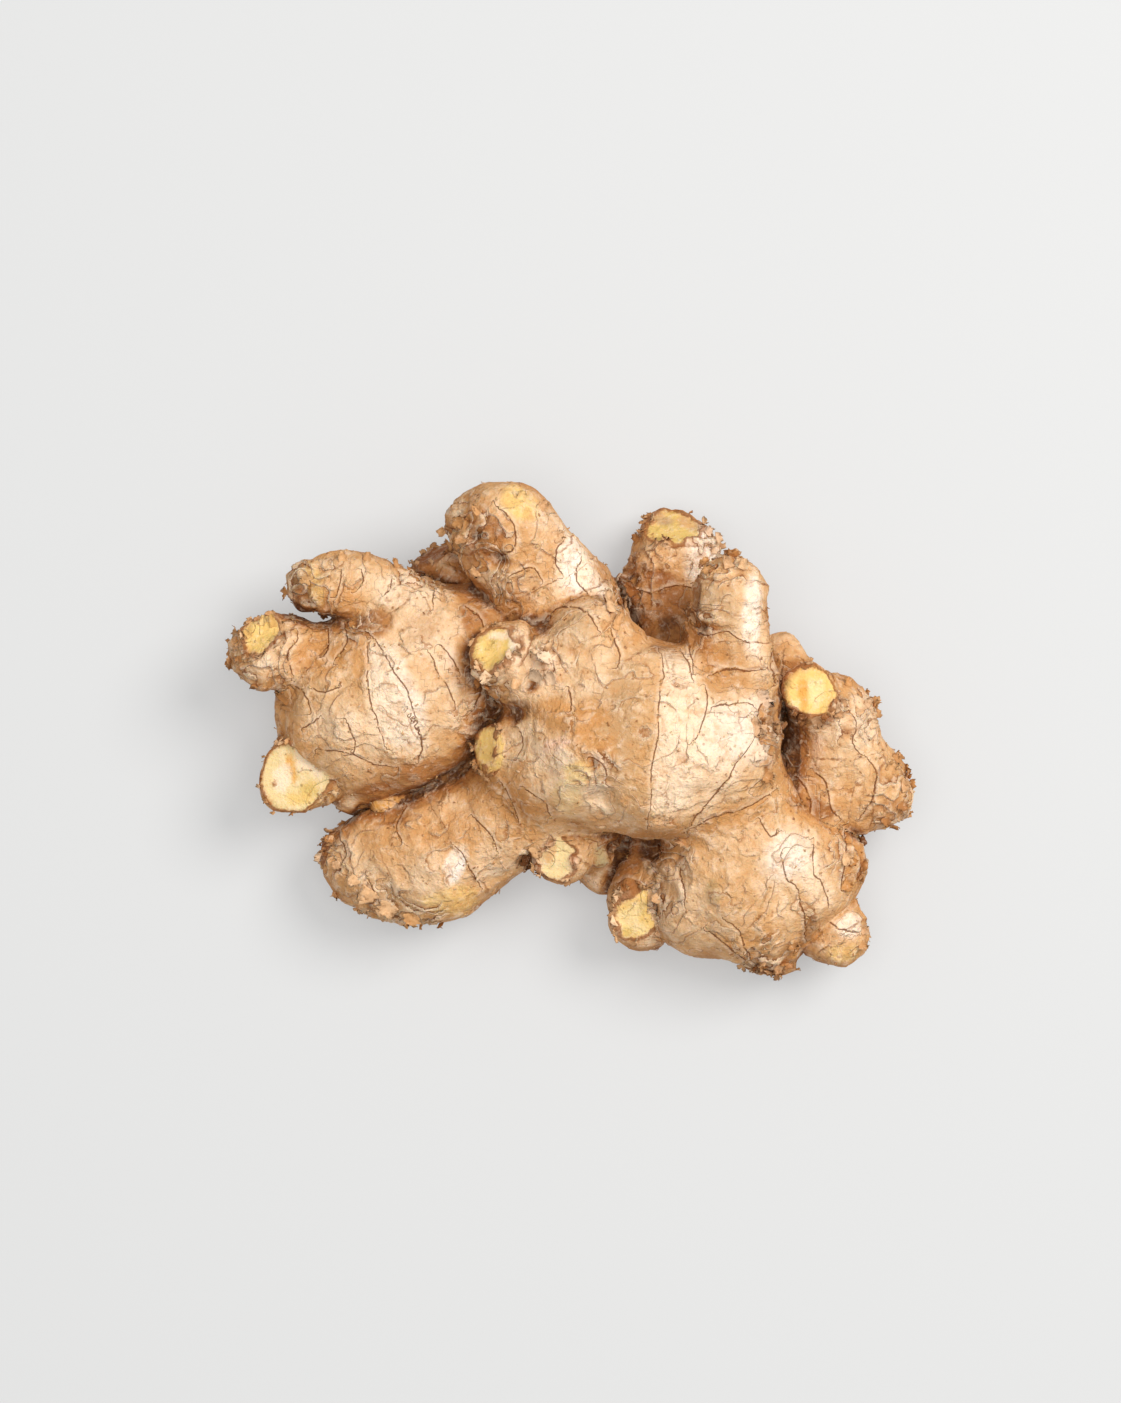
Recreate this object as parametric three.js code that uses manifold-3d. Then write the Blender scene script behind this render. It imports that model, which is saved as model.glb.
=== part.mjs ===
// A hand of fresh ginger, one rhizome in one piece: a tall middle lobe, a left body, a lower left lobe,
// a lower right lobe and a right lobe, with short fingers, cut stubs and buds growing out of them.
// It lies on its underside, as picked. Millimetres, +Z up, the table at z = 0, +Y away from the reader.
import * as THREE from 'three';
import { mergeVertices } from 'three/addons/utils/BufferGeometryUtils.js';
import Module from 'manifold-3d';

const wasm = await Module();
wasm.setup();

// Driving dimensions
const HAND_WIDTH = 150; // from the tip of the left finger to the right knob
const DRAWN_WIDTH = 150; // the width for which the stations below are given
const DEPTH_SHARE = 0.92; // a lobe is a little flatter than it is wide
const RING_RISE = 0.75; // how far a scale's edge stands above the foot of the next one
const LUMP_HEIGHT = 0.7; // slow swellings of the skin
const FACET = 4.7; // length of a facet round a lobe
const FEWEST_SIDES = 10;
const ROOT_ROWS = [[-0.8, 0], [-0.45, 0.75]]; // [along, out] in radii: a lobe's round root, inside its parent
const TIP_ANGLES = [0.45, 0.9, 1.3]; // of the rows that round off a tip, in radians
const SCALE_END = 0.9; // where the edge of a scale stands, as a share of the way to the next leaf scar
const SHORTEST_SCALE = 0.3; // as a share of the distance between leaf scars

// Each lobe is a row of stations [x, y, z, radius] along its middle, from inside its parent to its tip.
// rings is the distance between its leaf scars. cut is the direction that the sliced tip faces, and how far
// the slice is from the last station, as a share of its radius.
const LOBES = {
  left_body: {
    path: [[-54.5, 4, 17, 11], [-43, 5, 17.4, 19.5], [-31, 11, 18, 19], [-19, 17, 18, 15]],
    rings: 9,
  },
  upper_left_finger: {
    path: [[-33, 18, 20, 12], [-42, 29, 23, 8], [-50, 32.2, 24, 6.8], [-56.5, 31.6, 24, 5]],
    rings: 6,
    cut: [-0.7, -0.3, 0.65, 0.85],
  },
  left_finger: {
    path: [[-47, 10, 20, 12], [-57, 16, 22, 7], [-66, 17.5, 23, 8]],
    rings: 6,
    cut: [-0.2, 0.5, 0.84, 0.9],
  },
  cut_bud: {
    path: [[-52, -4, 16, 10], [-60.3, -10.3, 20.5, 8.3]],
    rings: 5,
    cut: [-0.15, -0.1, 0.98, 0.45],
  },
  left_small_stub: { path: [[-47, -8, 15, 6], [-48.7, -14.3, 14.5, 4.2]], rings: 4 },
  bead_bud: { path: [[-39.5, -9, 16, 5], [-41, -15.6, 17, 3.1]], rings: 4 },
  lower_left_lobe: {
    path: [[-3, -13, 20, 13], [-17, -19.5, 17, 13.8], [-32.5, -28, 13, 14.6], [-42.5, -29.5, 12, 11.2]],
    rings: 8,
  },
  lower_left_bud: { path: [[-48, -27, 12, 5], [-53.5, -26, 12, 3]], rings: 3, cut: [-0.9, 0, 0.4, 0.4] },
  heart: {
    path: [[-5, -5, 27, 13.5], [4, -3, 30, 18.5], [16, -2, 30, 20.6], [26, -3, 29, 18.5]],
    rings: 13,
  },
  upper_heart: {
    path: [[6, 0, 32, 14], [4, 10, 34, 13], [3, 16.5, 34, 11.5]],
    rings: 7,
    cut: [-0.45, 0.45, 0.77, 0.95],
  },
  scar_finger: {
    path: [[0, 8, 32, 10], [-9, 12.5, 34, 8.6], [-14, 15.5, 35.5, 7.8]],
    rings: 5,
    cut: [-0.35, 0.3, 0.88, 0.75],
  },
  left_bud: {
    path: [[-5, -6, 30, 8], [-11, -4.6, 31.5, 6], [-16.2, -3.8, 32.5, 4.8]],
    rings: 3.5,
    cut: [-0.75, 0, 0.66, 0.5],
  },
  eye_knob: { path: [[2, -8, 40, 5], [2, -8, 43, 5]], rings: 3 },
  upper_finger: {
    path: [[31, -12, 24, 12], [32.5, 2, 27.5, 11.8], [33.6, 16, 31, 9.4], [34.2, 29.5, 34, 7.5]],
    rings: 6.5,
    cut: [-0.35, 0.05, 0.93, 0.92],
  },
  top_finger: {
    path: [[-2, 20, 22, 14.5], [-6.1, 30, 22, 13.2], [-10.4, 38, 25, 11.6], [-14.4, 44, 28, 10]],
    rings: 7,
    cut: [0.25, 0.4, 0.88, 0.95],
  },
  top_finger_side: { path: [[-17, 43, 26, 8], [-22.5, 46, 25, 5]], rings: 4 },
  top_finger_sheath: { path: [[6.5, 25, 14, 5], [4, 33, 16, 3.8]], rings: 5 },
  back_finger_scale: { path: [[16, 28, 10, 5], [12.8, 31, 11, 3.2]], rings: 4 },
  back_small_finger: {
    path: [[-16, 24, 12, 9], [-24, 32.4, 12, 7], [-30.5, 36.6, 12, 5.2]],
    rings: 5,
    cut: [-0.5, 0.8, 0.3, 0.4],
  },
  back_finger: {
    path: [[26, 8, 14, 11], [23.5, 20, 10, 10], [22.5, 30, 8.8, 9.6], [22.9, 38.8, 10, 9.3]],
    rings: 7,
    cut: [-0.05, 0.8, 0.6, 0.75],
  },
  right_back_finger: { path: [[40, 0, 16, 8], [45, 6, 12, 6], [46, 15, 12, 5.6]], rings: 5 },
  right_lobe: {
    path: [[45, -22, 16, 9], [55, -13, 16, 11], [57, -3, 18, 10.4], [57, 3.5, 20, 8.6]],
    rings: 7,
  },
  right_knob: { path: [[57, -12, 16, 10], [64.6, -13, 16.5, 9.8]], rings: 5, cut: [0.85, -0.1, 0.5, 0.96] },
  right_stub: { path: [[55, 3, 22, 6], [52, 8, 29, 5.4]], rings: 4, cut: [0, 0.05, 1, 0.3] },
  lower_right_lobe: {
    path: [[24, -37, 14, 10], [36.5, -34, 15.5, 17.4], [48.5, -30, 16, 15], [54.5, -27, 16, 7.6]],
    rings: 8.5,
  },
  lower_right_neck: { path: [[33, -12, 22, 14], [38, -26, 19.5, 15]], rings: 8.5 },
  bottom_stub: { path: [[42, -42, 12, 9], [43.5, -50, 10, 5]], rings: 4, cut: [0, -0.9, 0.4, 0.5] },
  lower_right_knob: { path: [[52, -38, 14, 8], [58.5, -45.5, 15, 7.2]], rings: 5 },
  lower_finger: {
    path: [[22, -27, 12, 9], [17, -35, 13, 7.8], [15, -41.5, 14, 6.9]],
    rings: 5,
    cut: [-0.3, -0.1, 0.95, 0.75],
  },
  middle_knob: {
    path: [[1, -19, 22, 8], [-2.5, -27.3, 23.5, 6.3]],
    rings: 5,
    cut: [-0.2, -0.3, 0.93, 0.65],
  },
  tiny_bump: { path: [[6, -22, 22, 5], [5.8, -26.3, 23, 3.2]], rings: 4 },
  low_finger: { path: [[10, -24, 8, 6], [7, -32, 7, 4.2]], rings: 4 },
};

const UP = new THREE.Vector3(0, 0, 1);
const NEARLY_UPRIGHT = 0.2; // a lobe whose middle line leans less than this from upright turns about +X

// Slow swellings that make a lobe less regular, from where its surface is.
function lump({ x, y, z }) {
  const broad = Math.sin(0.21 * x + 1) * Math.sin(0.19 * y + 2);
  const fine = Math.sin(0.33 * y - 0.27 * z + 0.5) * Math.sin(0.31 * x + 0.2 * z);
  return LUMP_HEIGHT * (broad + 0.6 * fine);
}

// Rows [distance along the lobe, radius] of its outline: a buried root, rising scales, and a round tip.
function outline(length, radiusAt, rings) {
  const rows = ROOT_ROWS.map(([along, out]) => [along * radiusAt(0), out * radiusAt(0)]);
  for (let foot = 0; foot < length - SHORTEST_SCALE * rings; foot += rings) {
    rows.push([foot, radiusAt(foot)]);
    const edge = foot + SCALE_END * rings;
    if (edge < length) rows.push([edge, radiusAt(edge) + RING_RISE]);
  }
  const tip = radiusAt(length);
  rows.push([length, tip]);
  for (const angle of TIP_ANGLES) rows.push([length + tip * Math.sin(angle), tip * Math.cos(angle)]);
  rows.push([length + tip, 0]);
  return rows;
}

// A lathe-turned body bent along the lobe's middle line, with its skin swollen.
function sweptGeometry({ path, rings }) {
  const middles = path.map(([x, y, z]) => new THREE.Vector3(x, y, z));
  const line = new THREE.CatmullRomCurve3(middles, false, 'catmullrom');
  const radii = new THREE.SplineCurve(path.map(([, , , radius], i) => new THREE.Vector2(i, radius)));
  const length = line.getLength();
  const within = (along) => THREE.MathUtils.clamp(along, 0, length);
  const parameter = (along) => line.getUtoTmapping(within(along) / length);
  const radiusAt = (along) => radii.getPoint(parameter(along)).y;
  const profile = outline(length, radiusAt, rings).map(([along, radius]) => new THREE.Vector2(radius, along));
  const widest = Math.max(...profile.map(({ x }) => x));
  const sides = Math.max(FEWEST_SIDES, Math.round((2 * Math.PI * widest) / FACET));
  const geometry = new THREE.LatheGeometry(profile, sides);
  const points = geometry.getAttribute('position');
  const turned = new THREE.Vector3();
  for (let i = 0; i < points.count; i += 1) {
    turned.fromBufferAttribute(points, i);
    const tangent = line.getTangent(parameter(turned.y));
    const side = new THREE.Vector3().crossVectors(tangent, UP);
    if (side.length() < NEARLY_UPRIGHT) side.set(1, 0, 0);
    side.normalize();
    const lift = new THREE.Vector3().crossVectors(side, tangent);
    const outward = side.multiplyScalar(turned.x).addScaledVector(lift, DEPTH_SHARE * turned.z);
    const place = line.getPoint(parameter(turned.y)).addScaledVector(tangent, turned.y - within(turned.y));
    place.add(outward).addScaledVector(outward.normalize(), lump(place));
    points.setXYZ(i, place.x, place.y, place.z);
  }
  return geometry;
}

// A closed three.js geometry as a manifold-3d solid.
function solidOf(geometry) {
  geometry.deleteAttribute('normal');
  geometry.deleteAttribute('uv');
  const merged = mergeVertices(geometry, 1e-4);
  const corners = merged.index.array;
  const triVerts = [];
  for (let i = 0; i < corners.length; i += 3) {
    const [a, b, c] = corners.slice(i, i + 3);
    if (a !== b && b !== c && c !== a) triVerts.push(a, b, c);
  }
  return new wasm.Manifold(new wasm.Mesh({
    numProp: 3,
    vertProperties: merged.getAttribute('position').array,
    triVerts: new Uint32Array(triVerts),
  }));
}

// A block whose near face is the plane through a point, on the side that the direction points to.
function blockBeyond(point, direction, size) {
  const block = new THREE.BoxGeometry(size, size, size).translate(0, 0, size / 2);
  block.applyQuaternion(new THREE.Quaternion().setFromUnitVectors(UP, direction));
  return solidOf(block.translate(point.x, point.y, point.z));
}

function lobeSolid(lobe) {
  const whole = solidOf(sweptGeometry(lobe));
  if (!lobe.cut) return whole;
  const [x, y, z, share] = lobe.cut;
  const [endX, endY, endZ, radius] = lobe.path.at(-1);
  const direction = new THREE.Vector3(x, y, z).normalize();
  const point = new THREE.Vector3(endX, endY, endZ).addScaledVector(direction, share * radius);
  return whole.subtract(blockBeyond(point, direction, 6 * radius));
}

// The whole hand: every lobe grown together, and the low places of the underside flattened where it lies.
function handGeometry() {
  const grown = Object.values(LOBES).map(lobeSolid).reduce((hand, lobe) => hand.add(lobe));
  const table = blockBeyond(new THREE.Vector3(0, 0, 0), new THREE.Vector3(0, 0, -1), 2 * DRAWN_WIDTH);
  const { vertProperties, triVerts } = grown.subtract(table).getMesh();
  const geometry = new THREE.BufferGeometry();
  geometry.setAttribute('position', new THREE.BufferAttribute(vertProperties, 3));
  geometry.setIndex(new THREE.BufferAttribute(triVerts, 1));
  geometry.scale(HAND_WIDTH / DRAWN_WIDTH, HAND_WIDTH / DRAWN_WIDTH, HAND_WIDTH / DRAWN_WIDTH);
  geometry.computeVertexNormals();
  return geometry;
}

const skin = new THREE.MeshStandardMaterial({ color: 0xd9b387, roughness: 0.72, metalness: 0 });
const rhizome = new THREE.Mesh(handGeometry(), skin);
rhizome.name = 'ginger_rhizome';

const ginger = new THREE.Group();
ginger.add(rhizome);

export default ginger;
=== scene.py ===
# %% [markdown]
# # A hand of fresh ginger
# One rhizome lies on a pale table and is seen from straight above. Its solid is already in the frame:
# ringed lobes joined by hard creases. This lesson grows a finer skin over that solid. The skin gets soft
# saddles between a finger and the lobe that it grew from, leaf scars with torn edges, cracks, moist cut
# tips and papery flakes. Everything is measured in millimetres and made metres at the very end.

# %% Load the frame
import itertools
import math
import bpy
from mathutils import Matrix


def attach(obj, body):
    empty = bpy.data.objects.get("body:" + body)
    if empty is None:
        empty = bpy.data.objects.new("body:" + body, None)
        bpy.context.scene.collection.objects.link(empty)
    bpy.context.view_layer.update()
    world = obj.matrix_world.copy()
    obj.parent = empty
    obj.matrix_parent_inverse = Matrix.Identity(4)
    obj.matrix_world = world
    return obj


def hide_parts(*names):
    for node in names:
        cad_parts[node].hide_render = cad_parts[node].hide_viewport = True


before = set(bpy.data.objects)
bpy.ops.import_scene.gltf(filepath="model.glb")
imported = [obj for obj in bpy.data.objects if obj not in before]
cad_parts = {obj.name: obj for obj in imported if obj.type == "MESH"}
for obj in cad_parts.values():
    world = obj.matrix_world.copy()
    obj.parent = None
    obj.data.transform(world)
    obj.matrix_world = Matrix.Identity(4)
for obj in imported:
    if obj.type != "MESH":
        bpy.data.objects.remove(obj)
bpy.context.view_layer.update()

from types import SimpleNamespace

import bmesh
import bpy
import numpy as np
from mathutils import Matrix, Vector

NODE = "ginger_rhizome"
BODY = "root"
MM = 0.001

# %% [markdown]
# ## The lobes
# A ginger hand is a row of fat lobes, each with shorter fingers. Each lobe here is a row of stations
# [x, y, z, radius] along its middle, the same stations as those of the solid, so that the skin stays where
# the solid is. "rings" is the distance between leaf scars and "cut" is the direction and distance, in tip
# radii, of the slice that took the tip off. Lobes with the same "kin" flow into each other in a soft
# saddle; lobes that only press on each other keep a tight dark crease.

# %% The stations
DEPTH_SHARE = 0.92
LOBES = {
    "left_body": dict(kin="left", rings=9, path=[
        (-54.5, 4, 17, 11), (-43, 5, 17.4, 19.5), (-31, 11, 18, 19), (-19, 17, 18, 15)]),
    "upper_left_finger": dict(kin="left", rings=6, cut=(-0.7, -0.3, 0.65, 0.85), path=[
        (-33, 18, 20, 12), (-42, 29, 23, 8), (-50, 32.2, 24, 6.8), (-56.5, 31.6, 24, 5)]),
    "left_finger": dict(kin="left", rings=6, cut=(-0.2, 0.5, 0.84, 0.9), path=[
        (-47, 10, 20, 12), (-57, 16, 22, 7), (-66, 17.5, 23, 8)]),
    "cut_bud": dict(kin="left bud", rings=5, cut=(-0.15, -0.1, 0.98, 0.45), path=[
        (-52, -4, 16, 10), (-60.3, -10.3, 20.5, 8.3)]),
    "left_small_stub": dict(kin="left", rings=4, path=[(-47, -8, 15, 6), (-48.7, -14.3, 14.5, 4.2)]),
    "bead_bud": dict(kin="bead", rings=4, path=[(-39.5, -9, 16, 5), (-41, -15.6, 17, 3.1)]),
    "lower_left_lobe": dict(kin="heart", rings=8, path=[
        (-3, -13, 20, 13), (-17, -19.5, 17, 13.8), (-32.5, -28, 13, 14.6), (-42.5, -29.5, 12, 11.2)]),
    "lower_left_bud": dict(kin="heart", rings=3, cut=(-0.9, 0, 0.4, 0.4), path=[
        (-48, -27, 12, 5), (-53.5, -26, 12, 3)]),
    "heart": dict(kin="heart", rings=13, path=[
        (-5, -5, 27, 13.5), (4, -3, 30, 18.5), (16, -2, 30, 20.6), (26, -3, 29, 18.5)]),
    "upper_heart": dict(kin="heart", rings=7, cut=(-0.45, 0.45, 0.77, 0.95), path=[
        (6, 0, 32, 14), (4, 10, 34, 13), (3, 16.5, 34, 11.5)]),
    "scar_finger": dict(kin="heart", rings=5, cut=(-0.35, 0.3, 0.88, 0.75), path=[
        (0, 8, 32, 10), (-9, 12.5, 34, 8.6), (-14, 15.5, 35.5, 7.8)]),
    "left_bud": dict(kin="heart", rings=3.5, cut=(-0.75, 0, 0.66, 0.5), path=[
        (-5, -6, 30, 8), (-11, -4.6, 31.5, 6), (-16.2, -3.8, 32.5, 4.8)]),
    "eye_knob": dict(kin="heart", rings=3, path=[(2, -8, 40, 5), (2, -8, 43, 5)]),
    "upper_finger": dict(kin="heart", rings=6.5, cut=(-0.35, 0.05, 0.93, 0.92), path=[
        (31, -12, 24, 12), (32.5, 2, 27.5, 11.8), (33.6, 16, 31, 9.4), (34.2, 29.5, 34, 7.5)]),
    "top_finger": dict(kin="top", rings=7, cut=(0.25, 0.4, 0.88, 0.95), path=[
        (-2, 20, 22, 14.5), (-6.1, 30, 22, 13.2), (-10.4, 38, 25, 11.6), (-14.4, 44, 28, 10)]),
    "top_finger_side": dict(kin="top", rings=4, path=[(-17, 43, 26, 8), (-22.5, 46, 25, 5)]),
    "top_finger_sheath": dict(kin="top", rings=5, path=[(6.5, 25, 14, 5), (4, 33, 16, 3.8)]),
    "back_finger_scale": dict(kin="back", rings=4, path=[(16, 28, 10, 5), (12.8, 31, 11, 3.2)]),
    "back_small_finger": dict(kin="small back", rings=5, cut=(-0.5, 0.8, 0.3, 0.4), path=[
        (-16, 24, 12, 9), (-24, 32.4, 12, 7), (-30.5, 36.6, 12, 5.2)]),
    "back_finger": dict(kin="back", rings=7, cut=(-0.05, 0.8, 0.6, 0.75), path=[
        (26, 8, 14, 11), (23.5, 20, 10, 10), (22.5, 30, 8.8, 9.6), (22.9, 38.8, 10, 9.3)]),
    "right_back_finger": dict(kin="right back", rings=5, path=[
        (40, 0, 16, 8), (45, 6, 12, 6), (46, 15, 12, 5.6)]),
    "right_lobe": dict(kin="right", rings=7, path=[
        (45, -22, 16, 9), (55, -13, 16, 11), (57, -3, 18, 10.4), (57, 3.5, 20, 8.6)]),
    "right_knob": dict(kin="right", rings=5, cut=(0.85, -0.1, 0.5, 0.96), path=[
        (57, -12, 16, 10), (64.6, -13, 16.5, 9.8)]),
    "right_stub": dict(kin="right", rings=4, cut=(0, 0.05, 1, 0.3), path=[(55, 3, 22, 6), (52, 8, 29, 5.4)]),
    "lower_right_lobe": dict(kin="heart", rings=8.5, path=[
        (24, -37, 14, 10), (36.5, -34, 15.5, 17.4), (48.5, -30, 16, 15), (54.5, -27, 16, 7.6)]),
    "lower_right_neck": dict(kin="heart", rings=8.5, path=[(33, -12, 22, 14), (38, -26, 19.5, 15)]),
    "bottom_stub": dict(kin="heart", rings=4, cut=(0, -0.9, 0.4, 0.5), path=[
        (42, -42, 12, 9), (43.5, -50, 10, 5)]),
    "lower_right_knob": dict(kin="lower right knob", rings=5, path=[
        (52, -38, 14, 8), (58.5, -45.5, 15, 7.2)]),
    "lower_finger": dict(kin="lower finger", rings=5, cut=(-0.3, -0.1, 0.95, 0.75), path=[
        (22, -27, 12, 9), (17, -35, 13, 7.8), (15, -41.5, 14, 6.9)]),
    "middle_knob": dict(kin="middle knob", rings=5, cut=(-0.2, -0.3, 0.93, 0.65), path=[
        (1, -19, 22, 8), (-2.5, -27.3, 23.5, 6.3)]),
    "tiny_bump": dict(kin="tiny bump", rings=4, path=[(6, -22, 22, 5), (5.8, -26.3, 23, 3.2)]),
    "low_finger": dict(kin="low finger", rings=4, path=[(10, -24, 8, 6), (7, -32, 7, 4.2)]),
}
NAMES = list(LOBES)
KINS = sorted({lobe["kin"] for lobe in LOBES.values()})
KIN_OF = np.array([KINS.index(LOBES[name]["kin"]) for name in NAMES])
print(len(NAMES), "lobes in", len(KINS), "families")

# %% [markdown]
# ## A few helpers
# Skin is never even, so most steps add a little smooth noise. It is a lattice of hashed values blended by
# a smooth step, worked out for all the points at once, and it gives the same skin on every run. Most noise
# is used in several sizes at once, because skin is uneven at every size. The middle line of a lobe is a
# Catmull-Rom curve through its stations. Listed tables are grouped by a first word, to save room.

# %% Noise and curves
def noise(points, size, seed):
    """Smooth noise from -1 to 1 whose bumps are about size across."""
    grid = points / size
    cell = np.floor(grid).astype(np.int64)
    part = grid - cell
    part = part * part * (3 - 2 * part)
    total = np.zeros(len(points))
    for corner in itertools.product((0, 1), repeat=3):
        x, y, z = (cell + corner).T
        mixed = (x * 73856093) ^ (y * 19349663) ^ (z * 83492791) ^ (seed * 26544357)
        mixed = ((mixed ^ (mixed >> 13)) * 1274126177) & 0xFFFFFFFF
        value = ((mixed ^ (mixed >> 15)) & 0xFFFF) / 32767.5 - 1
        total += value * np.where(corner, part, 1 - part).prod(axis=1)
    return total


def rough(points, *octaves):
    """Noise in several sizes added up, where each octave is a height, a size and a seed."""
    return sum(height * noise(points, size, seed) for height, size, seed in octaves)


def curve_through(points, steps):
    """Points on a Catmull-Rom curve, steps of them for each stretch, and the last point."""
    points = np.array(points, float)
    padded = np.vstack([2 * points[0] - points[1], points, 2 * points[-1] - points[-2]])
    made = []
    for p0, p1, p2, p3 in zip(padded, padded[1:], padded[2:], padded[3:]):
        for t in np.arange(steps) / steps:
            made.append(0.5 * (2 * p1 + (p2 - p0) * t + (2 * p0 - 5 * p1 + 4 * p2 - p3) * t * t
                               + (3 * p1 - p0 - 3 * p2 + p3) * t ** 3))
    return np.array(made + [points[-1]])


def smoothstep(low, high, value):
    t = np.clip((value - low) / (high - low), 0, 1)
    return t * t * (3 - 2 * t)


def rows(table):
    """All the rows of a grouped table, with the word of the group in front of each."""
    return [(key, *row) for key, group in table.items() for row in group]


print("noise at three places:", noise(np.eye(3), 0.7, 1).round(2))

# %% [markdown]
# ## How far a point is from a lobe
# For any point in space, the distance to a lobe's skin is its distance from the middle line less the
# radius there. A sliced tip is the larger of that and the distance to the slice. The same step says how
# far along the lobe the point is, which the leaf scars need.

# %% Distance to one lobe
CURVE_STEPS = 4
OUT_OF_REACH = 1e3


def measure(lobe, points):
    """Distances to the lobe's whole round skin and to its slice, directions away, and places along it."""
    line = curve_through(lobe["path"], CURVE_STEPS)
    starts, ends = line[:-1], line[1:]
    steps = ends[:, :3] - starts[:, :3]
    lengths = np.linalg.norm(steps, axis=1)
    before = np.concatenate([[0], np.cumsum(lengths)[:-1]])
    best = np.full(len(points), np.inf)
    away = np.zeros((len(points), 3))
    along = np.zeros(len(points))
    flat = np.array([1, 1, 1 / DEPTH_SHARE])
    for i in range(len(starts)):
        from_start = points - starts[i, :3]
        t = np.clip(from_start @ steps[i] / lengths[i] ** 2, 0, 1)
        off = (from_start - t[:, None] * steps[i]) * flat
        length = np.linalg.norm(off, axis=1)
        distance = length - (starts[i, 3] + t * (ends[i, 3] - starts[i, 3]))
        nearer = distance < best
        best[nearer] = distance[nearer]
        away[nearer] = (off * flat / np.maximum(length, 1e-6)[:, None])[nearer]
        overshoot = (from_start @ steps[i] / lengths[i] ** 2 - t) * lengths[i]
        along[nearer] = (before[i] + t * lengths[i] + overshoot)[nearer]
    slice_distance = np.full(len(points), -OUT_OF_REACH)
    if "cut" in lobe:
        direction = np.array(lobe["cut"][:3]) / np.linalg.norm(lobe["cut"][:3])
        tip = np.array(lobe["path"][-1])
        slice_distance = (points - tip[:3]) @ direction - lobe["cut"][3] * tip[3]
        sliced = slice_distance > best
        away[sliced] = direction
    return best, slice_distance, away, along


depth = -measure(LOBES["heart"], np.array([[16.0, -2, 30]]))[0][0]
print("depth of the heart's middle line, mm:", round(depth, 1))

# %% [markdown]
# ## All the lobes as one skin
# A soft minimum of the distances grows the lobes of a family together. Between families the minimum is
# nearly hard. Each point is then stepped along the way out until its distance is zero, which lays the
# points of a fine mesh on the common skin.

# %% The common skin
SADDLE = 1.8
CREASE = 0.3
FAR = 9.0
LONGEST_MOVE = 2


def soft_minimum(distances, softness):
    least = distances.min(axis=0)
    parts = np.exp(-(distances - least) / softness)
    total = parts.sum(axis=0)
    return least - softness * np.log(total), parts / total


def common_skin(points):
    """Distance to the skin of the whole hand, the way out, and each lobe's share in it."""
    distances = np.full((len(NAMES), len(points)), OUT_OF_REACH)
    ways = np.zeros((len(NAMES), len(points), 3), np.float32)
    for i, name in enumerate(NAMES):
        path = np.array(LOBES[name]["path"])
        low = (path[:, :3] - path[:, 3:]).min(axis=0) - FAR
        high = (path[:, :3] + path[:, 3:]).max(axis=0) + FAR
        near = ((points > low) & (points < high)).all(axis=1)
        round_skin, sliced, away, _ = measure(LOBES[name], points[near])
        distances[i, near] = np.maximum(round_skin, sliced)
        ways[i, near] = away
    shares = np.zeros((len(NAMES), len(points)))
    of_kin = np.zeros((len(KINS), len(points)))
    for kin in range(len(KINS)):
        members = KIN_OF == kin
        of_kin[kin], shares[members] = soft_minimum(distances[members], SADDLE)
    distance, kin_shares = soft_minimum(of_kin, CREASE)
    shares *= kin_shares[KIN_OF]
    return distance, np.einsum("lp,lpc->pc", shares, ways), shares


def settle(points, steps=6):
    """Moves points onto the common skin."""
    for _ in range(steps):
        distance, way, _ = common_skin(points)
        size = np.maximum((way ** 2).sum(axis=1), 0.25)
        points = points - (np.clip(distance, -LONGEST_MOVE, LONGEST_MOVE) / size)[:, None] * way
    return points


print("a point above the heart settles at, mm:", settle(np.array([[16.0, -2, 55]])).round(1))

# %% [markdown]
# ## A fine mesh to start from
# A copy of the solid is merged and remeshed into small even squares. A voxel remesh suits it because the
# solid is closed, and because it keeps every gap between the fingers open.

# %% Remesh a copy of the solid
VOXEL = 0.73


def merged_copy(name):
    bm = bmesh.new()
    bm.from_mesh(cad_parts[NODE].data)
    bmesh.ops.remove_doubles(bm, verts=bm.verts, dist=0.00001)
    mesh = bpy.data.meshes.new(name)
    bm.to_mesh(mesh)
    bm.free()
    made = bpy.data.objects.new(name, mesh)
    bpy.context.scene.collection.objects.link(made)
    return made


def apply_modifiers(piece):
    bpy.context.view_layer.update()
    evaluated = piece.evaluated_get(bpy.context.evaluated_depsgraph_get())
    finished = bpy.data.meshes.new_from_object(evaluated)
    piece.modifiers.clear()
    piece.data = finished


skin = merged_copy("ginger_skin")
remesh = skin.modifiers.new("even squares", "REMESH")
remesh.mode = "VOXEL"
remesh.voxel_size = VOXEL * MM
apply_modifiers(skin)
print("skin points:", len(skin.data.vertices), "faces:", len(skin.data.polygons))

# %% Lay the points on the common skin
count = len(skin.data.vertices)
rest = np.empty(3 * count)
skin.data.vertices.foreach_get("co", rest)
rest = settle(rest.reshape(-1, 3) / MM)
_, outward, shares = common_skin(rest)
outward /= np.linalg.norm(outward, axis=1)[:, None]
kin_shares = np.array([shares[KIN_OF == kin].sum(axis=0) for kin in range(len(KINS))])
print("skin, mm:", rest.min(axis=0).round(1), rest.max(axis=0).round(1))

# %% [markdown]
# ## Swellings and leaf scars
# A scale leaf once wrapped each joint of the rhizome. It leaves a ring: the old skin rises towards its
# torn edge and drops to the next, younger stretch. The edge is never straight, so the place along the lobe
# is shaken by noise before the ring is drawn. The height of the edge also comes and goes.

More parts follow.
